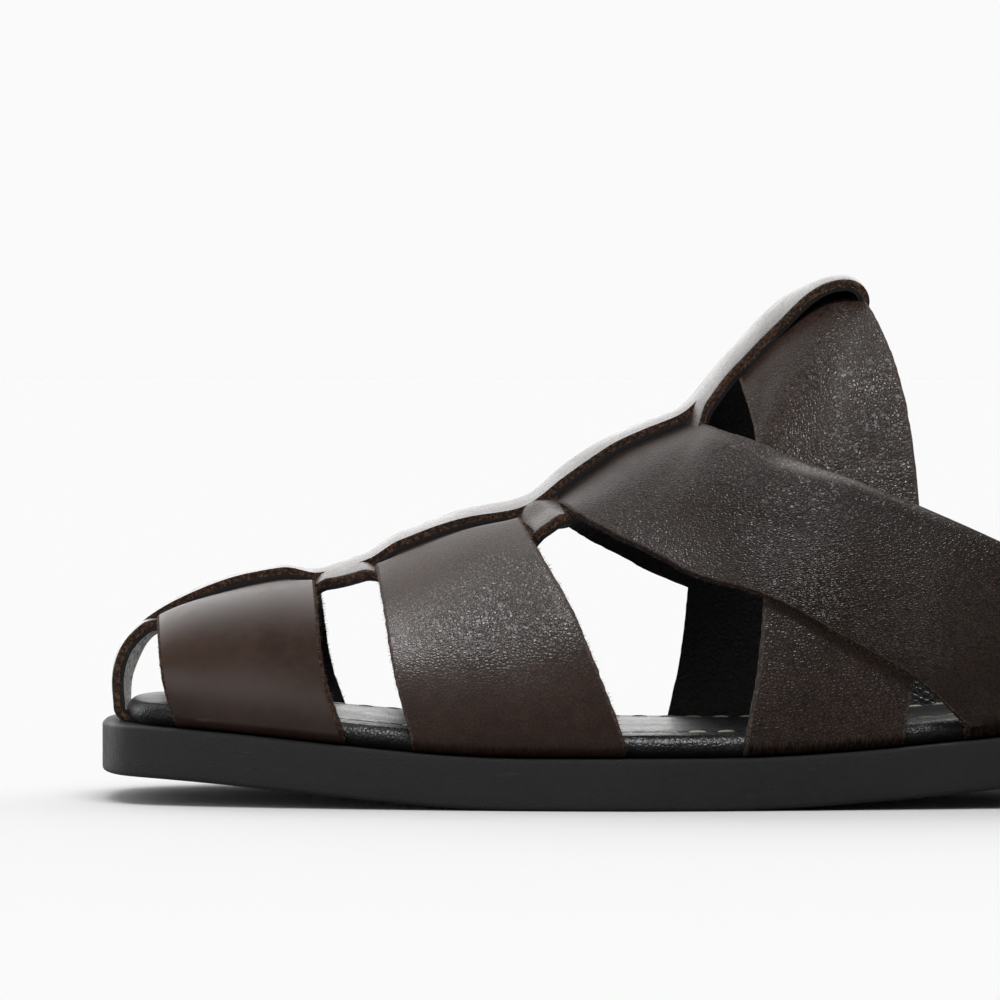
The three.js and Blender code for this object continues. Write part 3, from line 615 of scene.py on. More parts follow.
def make_insole_leather():
    material, tree, shader = new_material("insole_leather", 0.30, Specular_IOR_Level=0.3)
    place = object_place(tree)
    tone = place_group(tree, PATCHES, place, Dark=(0.012, 0.012, 0.013, 1), Light=(0.020, 0.020, 0.021, 1))
    tree.links.new(tone.outputs["Color"], shader.inputs["Base Color"])
    vary_roughness(tree, shader, tone, 0.32, 0.42)
    grain = place_group(tree, GRAIN, place, Cells_per_metre=1100.0, Bend=0.0006)
    slow = noise_node(tree, place, 160.0)
    height = math_node(tree, "ADD", grain.outputs["Height"], slow.outputs[0])
    add_bump(tree, shader, height, 0.00012, 0.6)
    return material


def make_thread(name, dark, light):
    material, tree, shader = new_material(name, 0.7)
    tone = place_group(tree, PATCHES, object_place(tree), Dark=dark, Light=light)
    tree.links.new(tone.outputs["Color"], shader.inputs["Base Color"])
    twist = noise_node(tree, object_place(tree), 3000.0, 1.0)
    add_bump(tree, shader, twist.outputs[0], 0.0002, 0.6)
    return material


RUBBER = make_rubber()
INSOLE_LEATHER = make_insole_leather()
THREAD = make_thread("cream_thread", (0.42, 0.37, 0.28, 1), (0.72, 0.66, 0.54, 1))
FIBRE = make_thread("leather_fibre", (0.06, 0.03, 0.018, 1), (0.55, 0.36, 0.22, 1))
print("sole and trim materials:", RUBBER.name, INSOLE_LEATHER.name, THREAD.name, FIBRE.name)

# %% [markdown]
# ## The rubber sole and its heel
# The sole is a moulded slab with a rounded upper edge. Rings of points, one above the other, follow the same
# outline as the CAD solid but with many more steps, and strips from side to side close the top and the
# bottom. The edge's radius catches the light of the room as a thin pale line.


# %% Piece helpers
def make_piece(name, points, faces, materials, finish=None, sharp=50):
    """A mesh object at the origin from points in millimetres, with its faces turned outwards."""
    mesh = bpy.data.meshes.new(name)
    mesh.from_pydata([tuple(p) for p in np.asarray(points) * MM], [], faces)
    for material in materials:
        mesh.materials.append(material)
    if finish is not None:
        mesh.polygons.foreach_set("material_index", finish)
    shape = bmesh.new()
    shape.from_mesh(mesh)
    bmesh.ops.remove_doubles(shape, verts=shape.verts, dist=1e-7)
    bmesh.ops.recalc_face_normals(shape, faces=shape.faces)
    shape.to_mesh(mesh)
    shape.free()
    mesh.polygons.foreach_set("use_smooth", [True] * len(mesh.polygons))
    mesh.set_sharp_from_angle(angle=math.radians(sharp))
    piece = bpy.data.objects.new(name, mesh)
    scene.collection.objects.link(piece)
    return piece


def wall_faces(levels, count):
    """Quads between closed rings of equal count."""
    faces = []
    for level in range(levels - 1):
        for k in range(count):
            a, b = level * count + k, level * count + (k + 1) % count
            faces.append((a, b, b + count, a + count))
    return faces


def stack_faces(levels, count):
    """The wall between rings, and strips from side to side across both ends."""
    faces = wall_faces(levels, count)
    for start in (0, (levels - 1) * count):
        for k in range(count // 2):
            strip = [start + k, start + k + 1, start + (count - k - 1) % count, start + (count - k) % count]
            faces.append(tuple(dict.fromkeys(strip)))
    return faces


def ring_at(inset, base, lift, steps):
    """The sole's outline moved inwards, lifted above a base height."""
    ring = outline_ring(inset, steps) - (0, SHIFT_Y)
    return np.column_stack([ring[:, 0] - LENGTH / 2, ring[:, 1], base(ring[:, 0]) + lift])


def ring_stack(name, profile, steps, material, sharp=50):
    rings = [ring_at(inset, base, lift, steps) for inset, base, lift in profile]
    return make_piece(name, np.vstack(rings), stack_faces(len(rings), len(rings[0])), [material], sharp=sharp)


# %% Outsole
SOLE_STEPS = 14
LOWER_ROUND = 1.0
RUBBER_SHARP = 40


def make_outsole():
    profile = []
    for angle in np.radians([0, 22.5, 45, 67.5, 90]):
        inset, lift = LOWER_ROUND * (1 - math.sin(angle)), LOWER_ROUND * (1 - math.cos(angle))
        profile.append((inset, sole_bottom, lift))
    for share in (0.25, 0.5, 0.75):
        profile.append((0, sole_bottom, LOWER_ROUND + share * (SOLE_THICK - LOWER_ROUND - SOLE_ROUND)))
    for angle in np.radians([0, 15, 30, 45, 60, 75, 90]):
        profile.append((SOLE_ROUND * (1 - math.cos(angle)), sole_top, -SOLE_ROUND * (1 - math.sin(angle))))
    return ring_stack("outsole_rubber", profile, SOLE_STEPS, RUBBER, RUBBER_SHARP)


outsole = make_outsole()
print("outsole faces:", len(outsole.data.polygons))

# %% Heel lift
LIFT_ROUND = 1.5
LIFT_SEAM = GAP / 10
BREAST_STEPS = 16


def make_heel_lift():
    side = outline_ring(HEEL_LIFT_INSET, SOLE_STEPS) - (0, SHIFT_Y)
    behind = side[side[:, 0] > HEEL_LIFT_FROM]
    lateral, medial = behind[behind[:, 1] < 0], behind[behind[:, 1] >= 0]
    lateral, medial = lateral[np.argsort(lateral[:, 0])], medial[np.argsort(medial[:, 0])]
    breast = [(HEEL_LIFT_FROM, y) for y in np.linspace(medial[0, 1], lateral[0, 1], BREAST_STEPS)]
    ring = np.vstack([lateral, medial[::-1], breast])
    centre = np.array([(HEEL_LIFT_FROM + LENGTH) / 2, 0])
    reach = np.linalg.norm(ring - centre, axis=1)[:, None]
    levels = []
    for angle in np.radians([0, 30, 60, 90]):
        flat = centre + (ring - centre) * (1 - LIFT_ROUND * (1 - math.sin(angle)) / reach)
        levels.append((flat, np.full(len(flat), LIFT_ROUND * (1 - math.cos(angle)))))
    levels.append((ring, sole_bottom(ring[:, 0]) - LIFT_SEAM))
    points = [np.column_stack([flat[:, 0] - LENGTH / 2, flat[:, 1], height]) for flat, height in levels]
    count, top = len(ring), (len(levels) - 1) * len(ring)
    faces = wall_faces(len(levels), count) + [tuple(range(count)), tuple(range(top, top + count))]
    return make_piece("heel_lift_rubber", np.vstack(points), faces, [RUBBER], sharp=RUBBER_SHARP)


heel_lift = make_heel_lift()
print("heel lift faces:", len(heel_lift.data.polygons))

# %% [markdown]
# ## The insole and its stitches
# The insole is a thin pad wrapped in black leather. Its edge is rolled, and a row of cream stitches in a
# shallow channel holds the wrapping. The profile is drawn as inset and height, then swept round the outline.
# The stitches repeat along a path, so Geometry Nodes place them: the path becomes evenly spaced points, and a
# small oval stitch stands on each.

# %% Insole
INSOLE_EDGE = FEATHER_INSET + GAP
STITCH_INSET = 11.0
CHANNEL_DEPTH, CHANNEL_HALF = 0.4, 0.35
CREST_RISE, BED_RISE = 0.05, 0.1
INSOLE_STEPS = 12


def insole_profile():
    """Rows of inset and height: the rolled edge, the footbed's rim, the stitch channel and the footbed."""
    radius = INSOLE_THICK / 2
    turns = np.radians(np.linspace(-90, 90, 13))
    rows = [(radius * (1 - math.cos(a)), radius * (1 + math.sin(a))) for a in turns]
    crest = INSOLE_THICK + CREST_RISE
    bed = crest + BED_RISE
    rows += [(3.6, crest)] + [(inset, bed) for inset in (5.5, 7.5, 9.0, 10.2)]
    for side, depth in ((-1, 0.7), (0, 1.0), (1, 0.7)):
        rows.append((STITCH_INSET + side * CHANNEL_HALF, bed - CHANNEL_DEPTH * depth))
    return rows + [(11.8, bed), (13.0, bed + BED_RISE), (15.0, bed)]


def make_insole():
    profile = [(INSOLE_EDGE + inset, sole_top, height) for inset, height in insole_profile()]
    return ring_stack("insole_pad", profile, INSOLE_STEPS, INSOLE_LEATHER)


insole = make_insole()
print("insole faces:", len(insole.data.polygons))


# %% Geometry Nodes helpers
def new_tree(name, inputs):
    """A geometry tree with a Geometry input and output and named float or integer inputs."""
    tree = bpy.data.node_groups.new(name, "GeometryNodeTree")
    tree.interface.new_socket("Geometry", in_out="INPUT", socket_type="NodeSocketGeometry")
    sockets = {}
    for label, kind in inputs:
        socket = tree.interface.new_socket(label, in_out="INPUT", socket_type="NodeSocket" + kind)
        sockets[label] = socket.identifier
    tree.interface.new_socket("Geometry", in_out="OUTPUT", socket_type="NodeSocketGeometry")
    return tree, tree.nodes.new("NodeGroupInput"), tree.nodes.new("NodeGroupOutput"), sockets


def path_scatter(name, inputs, material):
    """A tree that stands a shape on points along a path, spaced by its first input, and paints the result."""
    tree, entry, leave, sockets = new_tree(name, inputs)
    curve, points, stand, real, paint = new_nodes(
        tree, "GeometryNode", "MeshToCurve", "CurveToPoints", "InstanceOnPoints", "RealizeInstances",
        "SetMaterial")
    points.mode = "LENGTH"
    paint.inputs["Material"].default_value = material
    wire(tree, (entry, "Geometry", curve, "Mesh"), (curve, "Curve", points, "Curve"),
         (entry, inputs[0][0], points, "Length"), (points, "Points", stand, "Points"), (stand, 0, real, 0),
         (paint, 0, leave, "Geometry"))
    return tree, sockets, entry, points, stand, real, paint


def path_object(name, points, edges, vectors=None):
    mesh = bpy.data.meshes.new(name)
    mesh.from_pydata([tuple(p) for p in np.asarray(points) * MM], edges, [])
    if vectors is not None:
        mesh.attributes.new("outward", "FLOAT_VECTOR", "POINT").data.foreach_set("vector", np.ravel(vectors))
    path = bpy.data.objects.new(name, mesh)
    scene.collection.objects.link(path)
    return path


def grow(path, name, tree, sockets, values):
    """Runs a tree on a path and returns its result as a plain mesh piece at the origin."""
    modifier = path.modifiers.new(name, "NODES")
    modifier.node_group = tree
    for label, value in values.items():
        modifier[sockets[label]] = value
    bpy.context.view_layer.update()
    done = path.evaluated_get(bpy.context.evaluated_depsgraph_get())
    piece = bpy.data.objects.new(name, bpy.data.meshes.new_from_object(done))
    scene.collection.objects.link(piece)
    path.modifiers.remove(modifier)
    bpy.data.objects.remove(path)
    return piece


# %% Stitches
STITCH_PITCH = 5.7
STITCH_LONG = 3.5
STITCH_THICK = 0.7
STITCH_STANDS = 0.55


def stitch_tree():
    tree, sockets, entry, points, stand, real, paint = path_scatter(
        "stitch_row", [("Pitch", "Float"), ("Long", "Float"), ("Thick", "Float")], THREAD)
    oval, shape, smooth = new_nodes(tree, "GeometryNode", "MeshUVSphere", "Transform", "SetShadeSmooth")
    for key, value in (("Segments", 8), ("Rings", 6), ("Radius", 0.5)):
        oval.inputs[key].default_value = value
    size = tree.nodes.new("ShaderNodeCombineXYZ")
    wire(tree, (entry, "Thick", size, "X"), (entry, "Thick", size, "Y"), (entry, "Long", size, "Z"),
         (oval, "Mesh", shape, "Geometry"), (size, 0, shape, "Scale"),
         (points, "Rotation", stand, "Rotation"), (shape, 0, stand, "Instance"), (real, 0, smooth, 0),
         (smooth, 0, paint, "Geometry"))
    return tree, sockets


def make_stitches():
    height = dict(insole_profile())[STITCH_INSET] + STITCH_THICK * STITCH_STANDS
    ring = ring_at(INSOLE_EDGE + STITCH_INSET, sole_top, height, INSOLE_STEPS)
    edges = [(k, (k + 1) % len(ring)) for k in range(len(ring))]
    tree, sockets = stitch_tree()
    values = {"Pitch": STITCH_PITCH * MM, "Long": STITCH_LONG * MM, "Thick": STITCH_THICK * MM}
    return grow(path_object("stitch_path", ring, edges), "insole_stitches", tree, sockets, values)


stitches = make_stitches()
print("stitch faces:", len(stitches.data.polygons))

# %% [markdown]
# ## Leather strips
# Every strip is one sheet of leather with two layers, a brown grain layer and a black lining. It is made from
# a grid of points on the last: the lining side lies on the last, and the grain side stands off by the
# thickness. Extra columns near each cut edge round the grain side's corner, and a fine groove in the edge
# parts the two layers. Soft creases are given in millimetres on the flat strip.

# %% A leather strip from a grid
EDGE_ROUND = 0.45
LAYER_GROOVE, GROOVE_HALF = 0.10, 0.06
WALL_ROUGH = 0.035
FIBRE_HEIGHT = 0.55
EDGE_COLUMNS = np.array([0.0, 0.12, 0.3, 0.6])
RAW_COLUMNS = 3
# A strip's finishes, in the order of its materials
GRAIN_SIDE, RAW_SIDE, LINING_SIDE, LINING_RIM = range(4)
rng = np.random.default_rng(7)


def edge_drop(distance):
    """How far the grain side falls at a distance from the cut edge, so that the corner is round."""
    near = np.clip(EDGE_ROUND - distance, 0, EDGE_ROUND)
    return EDGE_ROUND - np.sqrt(EDGE_ROUND ** 2 - near ** 2)


def flat_pattern(points):
    """Lengths along and across a grid of points, which lay the strip out flat."""
    along = np.linalg.norm(np.diff(points, axis=0), axis=2).mean(1)
    across = np.linalg.norm(np.diff(points, axis=1), axis=2)
    u = np.concatenate([[0], np.cumsum(along)])
    v = np.concatenate([np.zeros((len(points), 1)), np.cumsum(across, 1)], 1)
    return np.broadcast_to(u[:, None], v.shape), v


def crease_relief(u, v, creases):
    """Soft ridges and troughs: each is a line on the flat strip with a half width and a height."""
    relief = np.zeros_like(v)
    for (u0, v0), (u1, v1), width, height in creases:
        du, dv = u1 - u0, v1 - v0
        share = np.clip(((u - u0) * du + (v - v0) * dv) / (du * du + dv * dv), 0, 1)
        apart = np.hypot(u - u0 - share * du, v - v0 - share * dv)
        relief += height * np.exp(-(apart / width) ** 2)
    return relief


def leather_strip(name, inner, normal, thick, marks, leather, slits=None):
    """A closed two-layer strip. slits maps a column to the rows where the sheet is cut beside that column."""
    rows, columns = inner.shape[:2]
    slits = slits or {}
    side = unit(np.gradient(inner, axis=1) + 1e-9)
    points = [inner.reshape(-1, 3), (inner + normal * thick[..., None]).reshape(-1, 3)]
    faces, finish = [], []
    low = np.arange(rows * columns).reshape(rows, columns)
    high = low + rows * columns
    top = 2 * rows * columns
    source = [low.ravel(), low.ravel()]

    def wall(column, facing, cut):
        nonlocal top
        ladder = [low[:, column]]
        for part, pull in ((-GROOVE_HALF, 0), (0, LAYER_GROOVE), (GROOVE_HALF, 0)):
            share = (LINING_THICK + part) / thick[:, column].max()
            rough = rng.normal(0, WALL_ROUGH, rows)
            lift = normal[:, column] * (share * thick[:, column])[:, None]
            points.append(inner[:, column] + lift - side[:, column] * (facing * (pull + rough))[:, None])
            source.append(low[:, column])
            ladder.append(top + np.arange(rows))
            top += rows
        ladder.append(high[:, column])
        for step in range(4):
            for i in np.flatnonzero(cut):
                a, b = ladder[step], ladder[step + 1]
                faces.append((a[i], a[i + 1], b[i + 1], b[i]))
                finish.append(LINING_RIM if step < 2 else RAW_SIDE)
        return ladder

    for j in range(columns - 1):
        if j in slits:
            wall(j, 1, slits[j])
            wall(j + 1, -1, slits[j])
            continue
        for i in range(rows - 1):
            faces.append((low[i, j], low[i, j + 1], low[i + 1, j + 1], low[i + 1, j]))
            faces.append((high[i, j], high[i, j + 1], high[i + 1, j + 1], high[i + 1, j]))
            finish += [LINING_SIDE, RAW_SIDE if min(j, columns - 2 - j) < RAW_COLUMNS else GRAIN_SIDE]
    whole = np.ones(rows - 1, bool)
    first, final = wall(0, -1, whole), wall(columns - 1, 1, whole)
    for i in (0, rows - 1):
        loop = list(low[i]) + [rung[i] for rung in final[1:-1]]
        loop += list(high[i][::-1]) + [rung[i] for rung in first[1:-1]][::-1]
        faces.append(tuple(loop))
        finish.append(RAW_SIDE)
    piece = make_piece(name, np.vstack(points), [tuple(int(k) for k in f) for f in faces],
                       [leather, RAW_EDGE, LINING, LINING_EDGE], finish)
    u, v = flat_pattern(inner)
    spread = np.concatenate(source)
    flat = np.stack([u.ravel(), v.ravel()], 1)[spread] * MM
    marks = {key: np.broadcast_to(mark, (rows, columns)).ravel()[spread] for key, mark in marks.items()}
    paint_flat(piece, np.vstack(points), flat, marks)
    edges = [inner[:, j] + normal[:, j] * (FIBRE_HEIGHT * thick[:, j])[:, None] for j in (0, columns - 1)]
    return piece, list(zip(edges, (-side[:, 0], side[:, -1])))


def paint_flat(piece, points, flat, marks):
    """Gives a strip its flat pattern as a UV map, and its grain and its painted highlight as attributes."""
    mesh = piece.data
    points = np.asarray(points) * MM
    where = {tuple(np.round(p, 7)): k for k, p in enumerate(points)}
    order = np.array([where.get(tuple(np.round(v.co, 7)), -1) for v in mesh.vertices])
    for k in np.flatnonzero(order < 0):
        order[k] = np.argmin(np.sum((points - np.array(mesh.vertices[k].co)) ** 2, 1))
    layer = mesh.uv_layers.new(name="flat")
    corners = np.zeros(len(mesh.loops), int)
    mesh.loops.foreach_get("vertex_index", corners)
    layer.data.foreach_set("uv", flat[order[corners]].ravel())
    for key, mark in marks.items():
        mesh.attributes.new(key, "FLOAT", "POINT").data.foreach_set("value", mark[order])


print("strips have", len(EDGE_COLUMNS), "columns in each rounded edge")

# %% [markdown]
# ## The four straps
# Each strap is cut by two edges that are given at a few girths, from the ridge down to the feather line. The
# strap dips a little where the middle strip presses on it, and its ends turn round the insole's lower edge.
# The slanted strap also rises where it crosses the instep strap.

# %% Straps
JOIN = 0.35
CLEAR = 0.4
SLIT = 9.5
DIP_FULL = SLIT + 0.5
CROSS_NEAR_SPINE, CROSS_FRONT, CROSS_REAR = 8, 24, 26
CROSS_EASE, EASE_WIDE, CROSS_BOW = 1.0, 3.5, 1.4
CROSS_GIRTHS = (0.2, 0.5)
# Painted highlight on the slanted strap: inset from its rear edge, width, girths where it grows and fades.
HIGHLIGHT_INSET, HIGHLIGHT_WIDE = 2.0, 1.5
HIGHLIGHT_GROWS, HIGHLIGHT_FADES = (0.50, 0.56), (0.58, 0.70)
CUT_ROUGH = 0.05
STRAP_ROWS = 150
STRAP_COLUMNS = 26

# Edges are rows of girth, front and rear edge from the toe tip. Lead moves the medial end forwards, and trim
# only its rear edge. Settle is how far beside the middle strip the strap comes up to its height. Polish lists
# spots where the grain stands out: girth, share across, their two radii and the strength.
STRAPS = {
    "toe": dict(
        lead=1.0, trim=0, settle=5.5, dip=0.6, rise=18, fall=6, grain=0.03, polish=[],
        edges=np.array([(0.0, 11.7, 42.0), (0.55, 13.1, 44.0), (0.8, 14.3, 45.7), (1.0, 16.1, 49.0)])),
    "vamp": dict(
        lead=1.0, trim=1.8, settle=5.5, dip=0.9, rise=6, fall=20, grain=0.14,
        polish=[(0.62, 0.80, 0.15, 0.35, 0.32), (0.64, 0.40, 0.13, 0.35, 0.20),
                (0.45, 0.75, 0.12, 0.3, 0.12)],
        edges=np.array([
            (0.0, 54.0, 82.4), (0.2, 55.2, 84.1), (0.47, 56.7, 89.0), (0.78, 59.0, 97.1),
            (1.0, 62.4, 103.8)])),
    "slant": dict(
        lead=7.0, trim=0, settle=18, dip=0.8, rise=15, fall=15, grain=0.30,
        polish=[(0.62, 0.72, 0.10, 0.25, 0.40), (0.46, 0.60, 0.10, 0.30, 0.30),
                (0.55, 0.85, 0.06, 0.15, 0.20), (0.68, 0.90, 0.06, 0.15, 0.30)],
        edges=np.array([
            (0.0, 86.5, 115.5), (0.14, 90.2, 118.4), (0.33, 94.7, 124.3), (0.47, 101.8, 132.7),
            (0.54, 106.9, 138.3), (0.6, 111.8, 146.2), (0.66, 117.4, 159.9), (0.75, 130.0, 180.0),
            (0.84, 143.2, 197.5), (0.92, 159.3, 209.0), (1.0, 170.0, 216.0)])),
    "instep": dict(
        lead=13.2, trim=0, grain=0.32,
        polish=[(0.32, 0.80, 0.12, 0.30, 0.20), (0.54, 0.64, 0.12, 0.30, 0.30),
                (0.47, 0.90, 0.10, 0.20, 0.25)],
        edges=np.array([
            (0.0, 126.8, 149.8), (0.2, 128.1, 152.7), (0.45, 130.4, 158.3), (0.65, 131.0, 160.8),
            (0.85, 129.7, 160.8), (1.0, 126.7, 157.9)])),
}
# Each crease is a line on the flat strip from one point to another, its half width and its height.
CREASES = {
    "toe": [],
    "vamp": [((18, 33), (36, 30), 7.0, 0.5)],
    "slant": [((60, 28), (86, 22), 7.0, 0.4), ((64, 21), (76, 18), 1.0, -0.2)],
    "instep": [((72, 1), (80, 5), 3.0, -0.5), ((50, 15), (54, 24), 1.0, -0.2)],
}


def strap_edges(strap, girth):
    row = read_at(strap["edges"], np.abs(girth))
    medial = np.clip(girth, 0, 1)
    front_lead = strap["lead"] * (1 - (1 - medial) ** 3)
    rear_lead = strap["lead"] * smoothstep(medial, 0, 1) + strap["trim"] * smoothstep(medial, 0, 0.3)
    return row[..., 1] - front_lead - LENGTH / 2, row[..., 2] - rear_lead - LENGTH / 2


def inside_strap(strap, x, girth, ramp, clear):
    """0 outside a strap's ramp, rising to 1 at a clear distance from its edges, which may lie inside them."""
    front, rear = strap_edges(strap, girth)
    return smoothstep(x, front - ramp, front - clear) * (1 - smoothstep(x, rear + clear, rear + ramp))


def lens_over(strap, x, girth):
    """How high the middle strip stands over a strap: 0 at the strap's edges, 1 where it is highest."""
    front, rear = strap_edges(strap, girth)
    rising = smoothstep(x, front - 1, front + strap["rise"])
    return rising * (1 - smoothstep(x, rear - strap["fall"], rear + 1))


def strap_places(front, rear):
    """Columns from edge to edge: close together at both cut edges, even between them."""
    width = (rear - front)[:, None]
    middle = np.linspace(EDGE_COLUMNS[-1], 0, STRAP_COLUMNS + 2)[1:-1] / EDGE_COLUMNS[-1]
    even = EDGE_COLUMNS[-1] + (width - 2 * EDGE_COLUMNS[-1]) * (1 - middle)[None, :]
    return np.hstack([np.broadcast_to(EDGE_COLUMNS, (len(front), len(EDGE_COLUMNS))), even,
                      width - EDGE_COLUMNS[::-1][None, :]])


def tuck_rows(base, normal, thick):
    """The end of a strip: a tight turn round the insole's lower edge, then a run under it."""
    outward = unit(normal * (1, 1, 0))
    rows = []
    for angle, run in [(a, 0.0) for a in np.radians([15, 30, 45, 60, 75, 90])] + [(math.pi / 2, TUCK_RUN)]:
        facing = outward * math.cos(angle) - np.array([0, 0, 1]) * math.sin(angle)
        point = base - outward * (TUCK_RADIUS + run) + facing * TUCK_RADIUS
        point[..., 2] += sole_top(point[..., 0] + LENGTH / 2) - sole_top(base[..., 0] + LENGTH / 2)
        rows.append((point, facing, thick))
    return rows


def polished_grain(strap, girth, share):
    """The grain's strength over a strap, with its listed polished spots."""
    grain = np.full(girth.shape, strap["grain"])
    for at, across, long, wide, strength in strap["polish"]:
        grain += strength * np.exp(-((np.abs(girth) - at) / long) ** 2 - ((share - across) / wide) ** 2)
    return grain


def make_strap(name):
    strap = STRAPS[name]
    girth = np.linspace(-1, 1, STRAP_ROWS + 1)
    front, rear = strap_edges(strap, girth)
    place = strap_places(front, rear)
    x = front[:, None] + place
    for edge in (0, -1):
        x[:, edge] += rng.normal(0, CUT_ROUGH, len(girth))
    grid = np.broadcast_to(girth[:, None], x.shape)
    section = section_at(x, grid)
    point, normal = last_point(section, grid), last_normal(section, grid)
    from_ridge = np.abs(point[..., 1] - rows_at(LAST, section)[..., 2])
    offset = np.zeros_like(x)
    if name != "instep":
        sink = STRAP_THICK - lens_over(strap, x, grid) * (STRAP_THICK - strap["dip"])
        offset = -sink * (1 - smoothstep(from_ridge, DIP_FULL, DIP_FULL + strap["settle"]))
    if name == "slant":
        under = strap_edges(STRAPS["instep"], grid)
        run = CROSS_NEAR_SPINE + (CROSS_FRONT - CROSS_NEAR_SPINE) * smoothstep(np.abs(grid), *CROSS_GIRTHS)
        climb = smoothstep(x, under[0] - run, under[0] - CLEAR)
        climb *= 1 - smoothstep(x, under[1] + CLEAR, under[1] + CROSS_REAR)
        eased = 1 - smoothstep(place[:, -1:] - place, 0, EASE_WIDE)
        bowed = 1 - (2 * place / place[:, -1:] - 1) ** 2
        offset = offset + (STRAP_THICK - JOIN - CROSS_EASE * eased + CROSS_BOW * bowed) * climb
    u, v = flat_pattern(point)
    offset = offset + crease_relief(u, v, CREASES[name])
    inner = point + normal * offset[..., None]
    near = np.minimum(place, place[:, -1:] - place)
    thick = STRAP_THICK - edge_drop(near)
    ends = [tuck_rows(point[k], normal[k], thick[k]) for k in (0, -1)]
    rows = ends[0][::-1] + list(zip(inner, normal, thick)) + ends[1]
    stacked = [np.stack(layer) for layer in zip(*rows)]
    marks = {"grain": polished_grain(strap, grid, place / place[:, -1:]), "painted_highlight": np.zeros_like(x)}
    # A pale rim of painted highlight just inside the slanted strap's rear edge, on its lateral side.
    if name == "slant":
        rim = np.exp(-((place[:, -1:] - place - HIGHLIGHT_INSET) / HIGHLIGHT_WIDE) ** 2)
        marks["painted_highlight"] = rim * smoothstep(-grid, *HIGHLIGHT_GROWS) * (1 - smoothstep(-grid, *HIGHLIGHT_FADES))
    more = ((len(ends[0]), len(ends[1])), (0, 0))
    marks = {key: np.pad(mark, more, mode="edge") for key, mark in marks.items()}
    leather = STRAP_LEATHER if name == "toe" else GRAINED_LEATHER
    return leather_strip("strap_" + name, *stacked, marks, leather)


strips = {name: make_strap(name) for name in STRAPS}
print("straps:", {name: len(strip[0].data.polygons) for name, strip in strips.items()})

# %% [markdown]
# ## Glints on the grain
# Narrow lamps make the grain of three straps and the insole's roll sparkle. Light linking lets each lamp fall
# on one piece, so the smooth toe strap keeps the even sheen that it has in the photograph. They leave the
# matt colours alone. The toe softbox is kept off the slanted strap in the same way.


# %% Glint lamps
def link_light(lamp, piece, state):
    """Lets a lamp fall on one piece only, or on everything but that piece."""
    linked = bpy.data.collections.new(lamp.name + "_link")
    linked.objects.link(piece)
    linked.collection_objects[0].light_linking.link_state = state
    lamp.light_linking.receiver_collection = linked


def glint_sun(piece, towards, spread, energy):
    lamp = soft_sun(piece.name + "_glint", towards, spread, energy)
    lamp.visible_diffuse = False
    link_light(lamp, piece, "INCLUDE")


glint_sun(strips["vamp"][0], (-0.26, -0.20, 0.94), 12, 5.6)
glint_sun(strips["slant"][0], (-0.07, -0.47, 0.88), 14, 5.6)
glint_sun(strips["instep"][0], (0.1, -0.47, 0.88), 12, 5.2)
glint_sun(insole, (0.0, -0.5, 0.87), 30, 4.0)
link_light(toe_softbox, strips["slant"][0], "EXCLUDE")
print("glint lamps on three straps and the insole")

# %% [markdown]
# ## The middle strip
# The strip along the ridge is woven through the straps: two slits let its middle pass over each strap while
# its two margins pass under. The grid has a doubled column at each slit. Where the strip isn't cut, the two
# columns lie on each other and are merged, so the slit closes by itself. At the top the strip folds round
# the instep strap's rear edge and comes back underneath.

# %% Middle strip
RAMP = 2.6
MARGIN_DIVE = SPINE_THICK + 0.2
MARGIN_LIFT = 1.5
NECK_DROOP = 1.2
FOLD_UNDER = 14.0
FOLD_RADIUS = 1.9
FOLD_RISE = FOLD_RADIUS - STRAP_THICK / 2
LYING_GAP = 0.02
NECK_RAMP, NECK_EDGE = 6, 16
INSTEP_RAMP = 12
FOLD_AFTER = 8
LEAF_START, LEAF_ROWS = 3.0, 9
SPINE_GRAIN = 0.12
# Place from the toe tip and half width
SPINE_WIDTH = np.array([
    (0, 13.0), (25, 14.5), (48, 16.2), (70, 19.0), (88, 22.5), (100, 20.5), (118, 17.0), (130, 15.5),
    (155, 15.0)])
SPINE_ROWS = 260


def girth_across(section, across):
    ridge = rows_at(LAST, section)[..., 2]
    side = np.where(across < 0, -1.0, 1.0)
    reach = search(lambda g: np.abs(last_point(section, side * g)[..., 1] - ridge), np.abs(across), 0, 0.7)
    return side * reach


def spine_columns(half):
    """Distances across from the ridge, and whether each column belongs to the raised middle."""
    edge = half - EDGE_COLUMNS
    margin = np.linspace(half - EDGE_COLUMNS[-1], SLIT, 6)[1:]
    middle = np.linspace(SLIT, 0, 10)
    left = np.concatenate([edge, margin, middle])
    raised = np.concatenate([np.zeros(len(edge) + len(margin)), np.ones(len(middle))])
    return np.concatenate([-left, left[:-1][::-1]]), np.concatenate([raised, raised[:-1][::-1]])


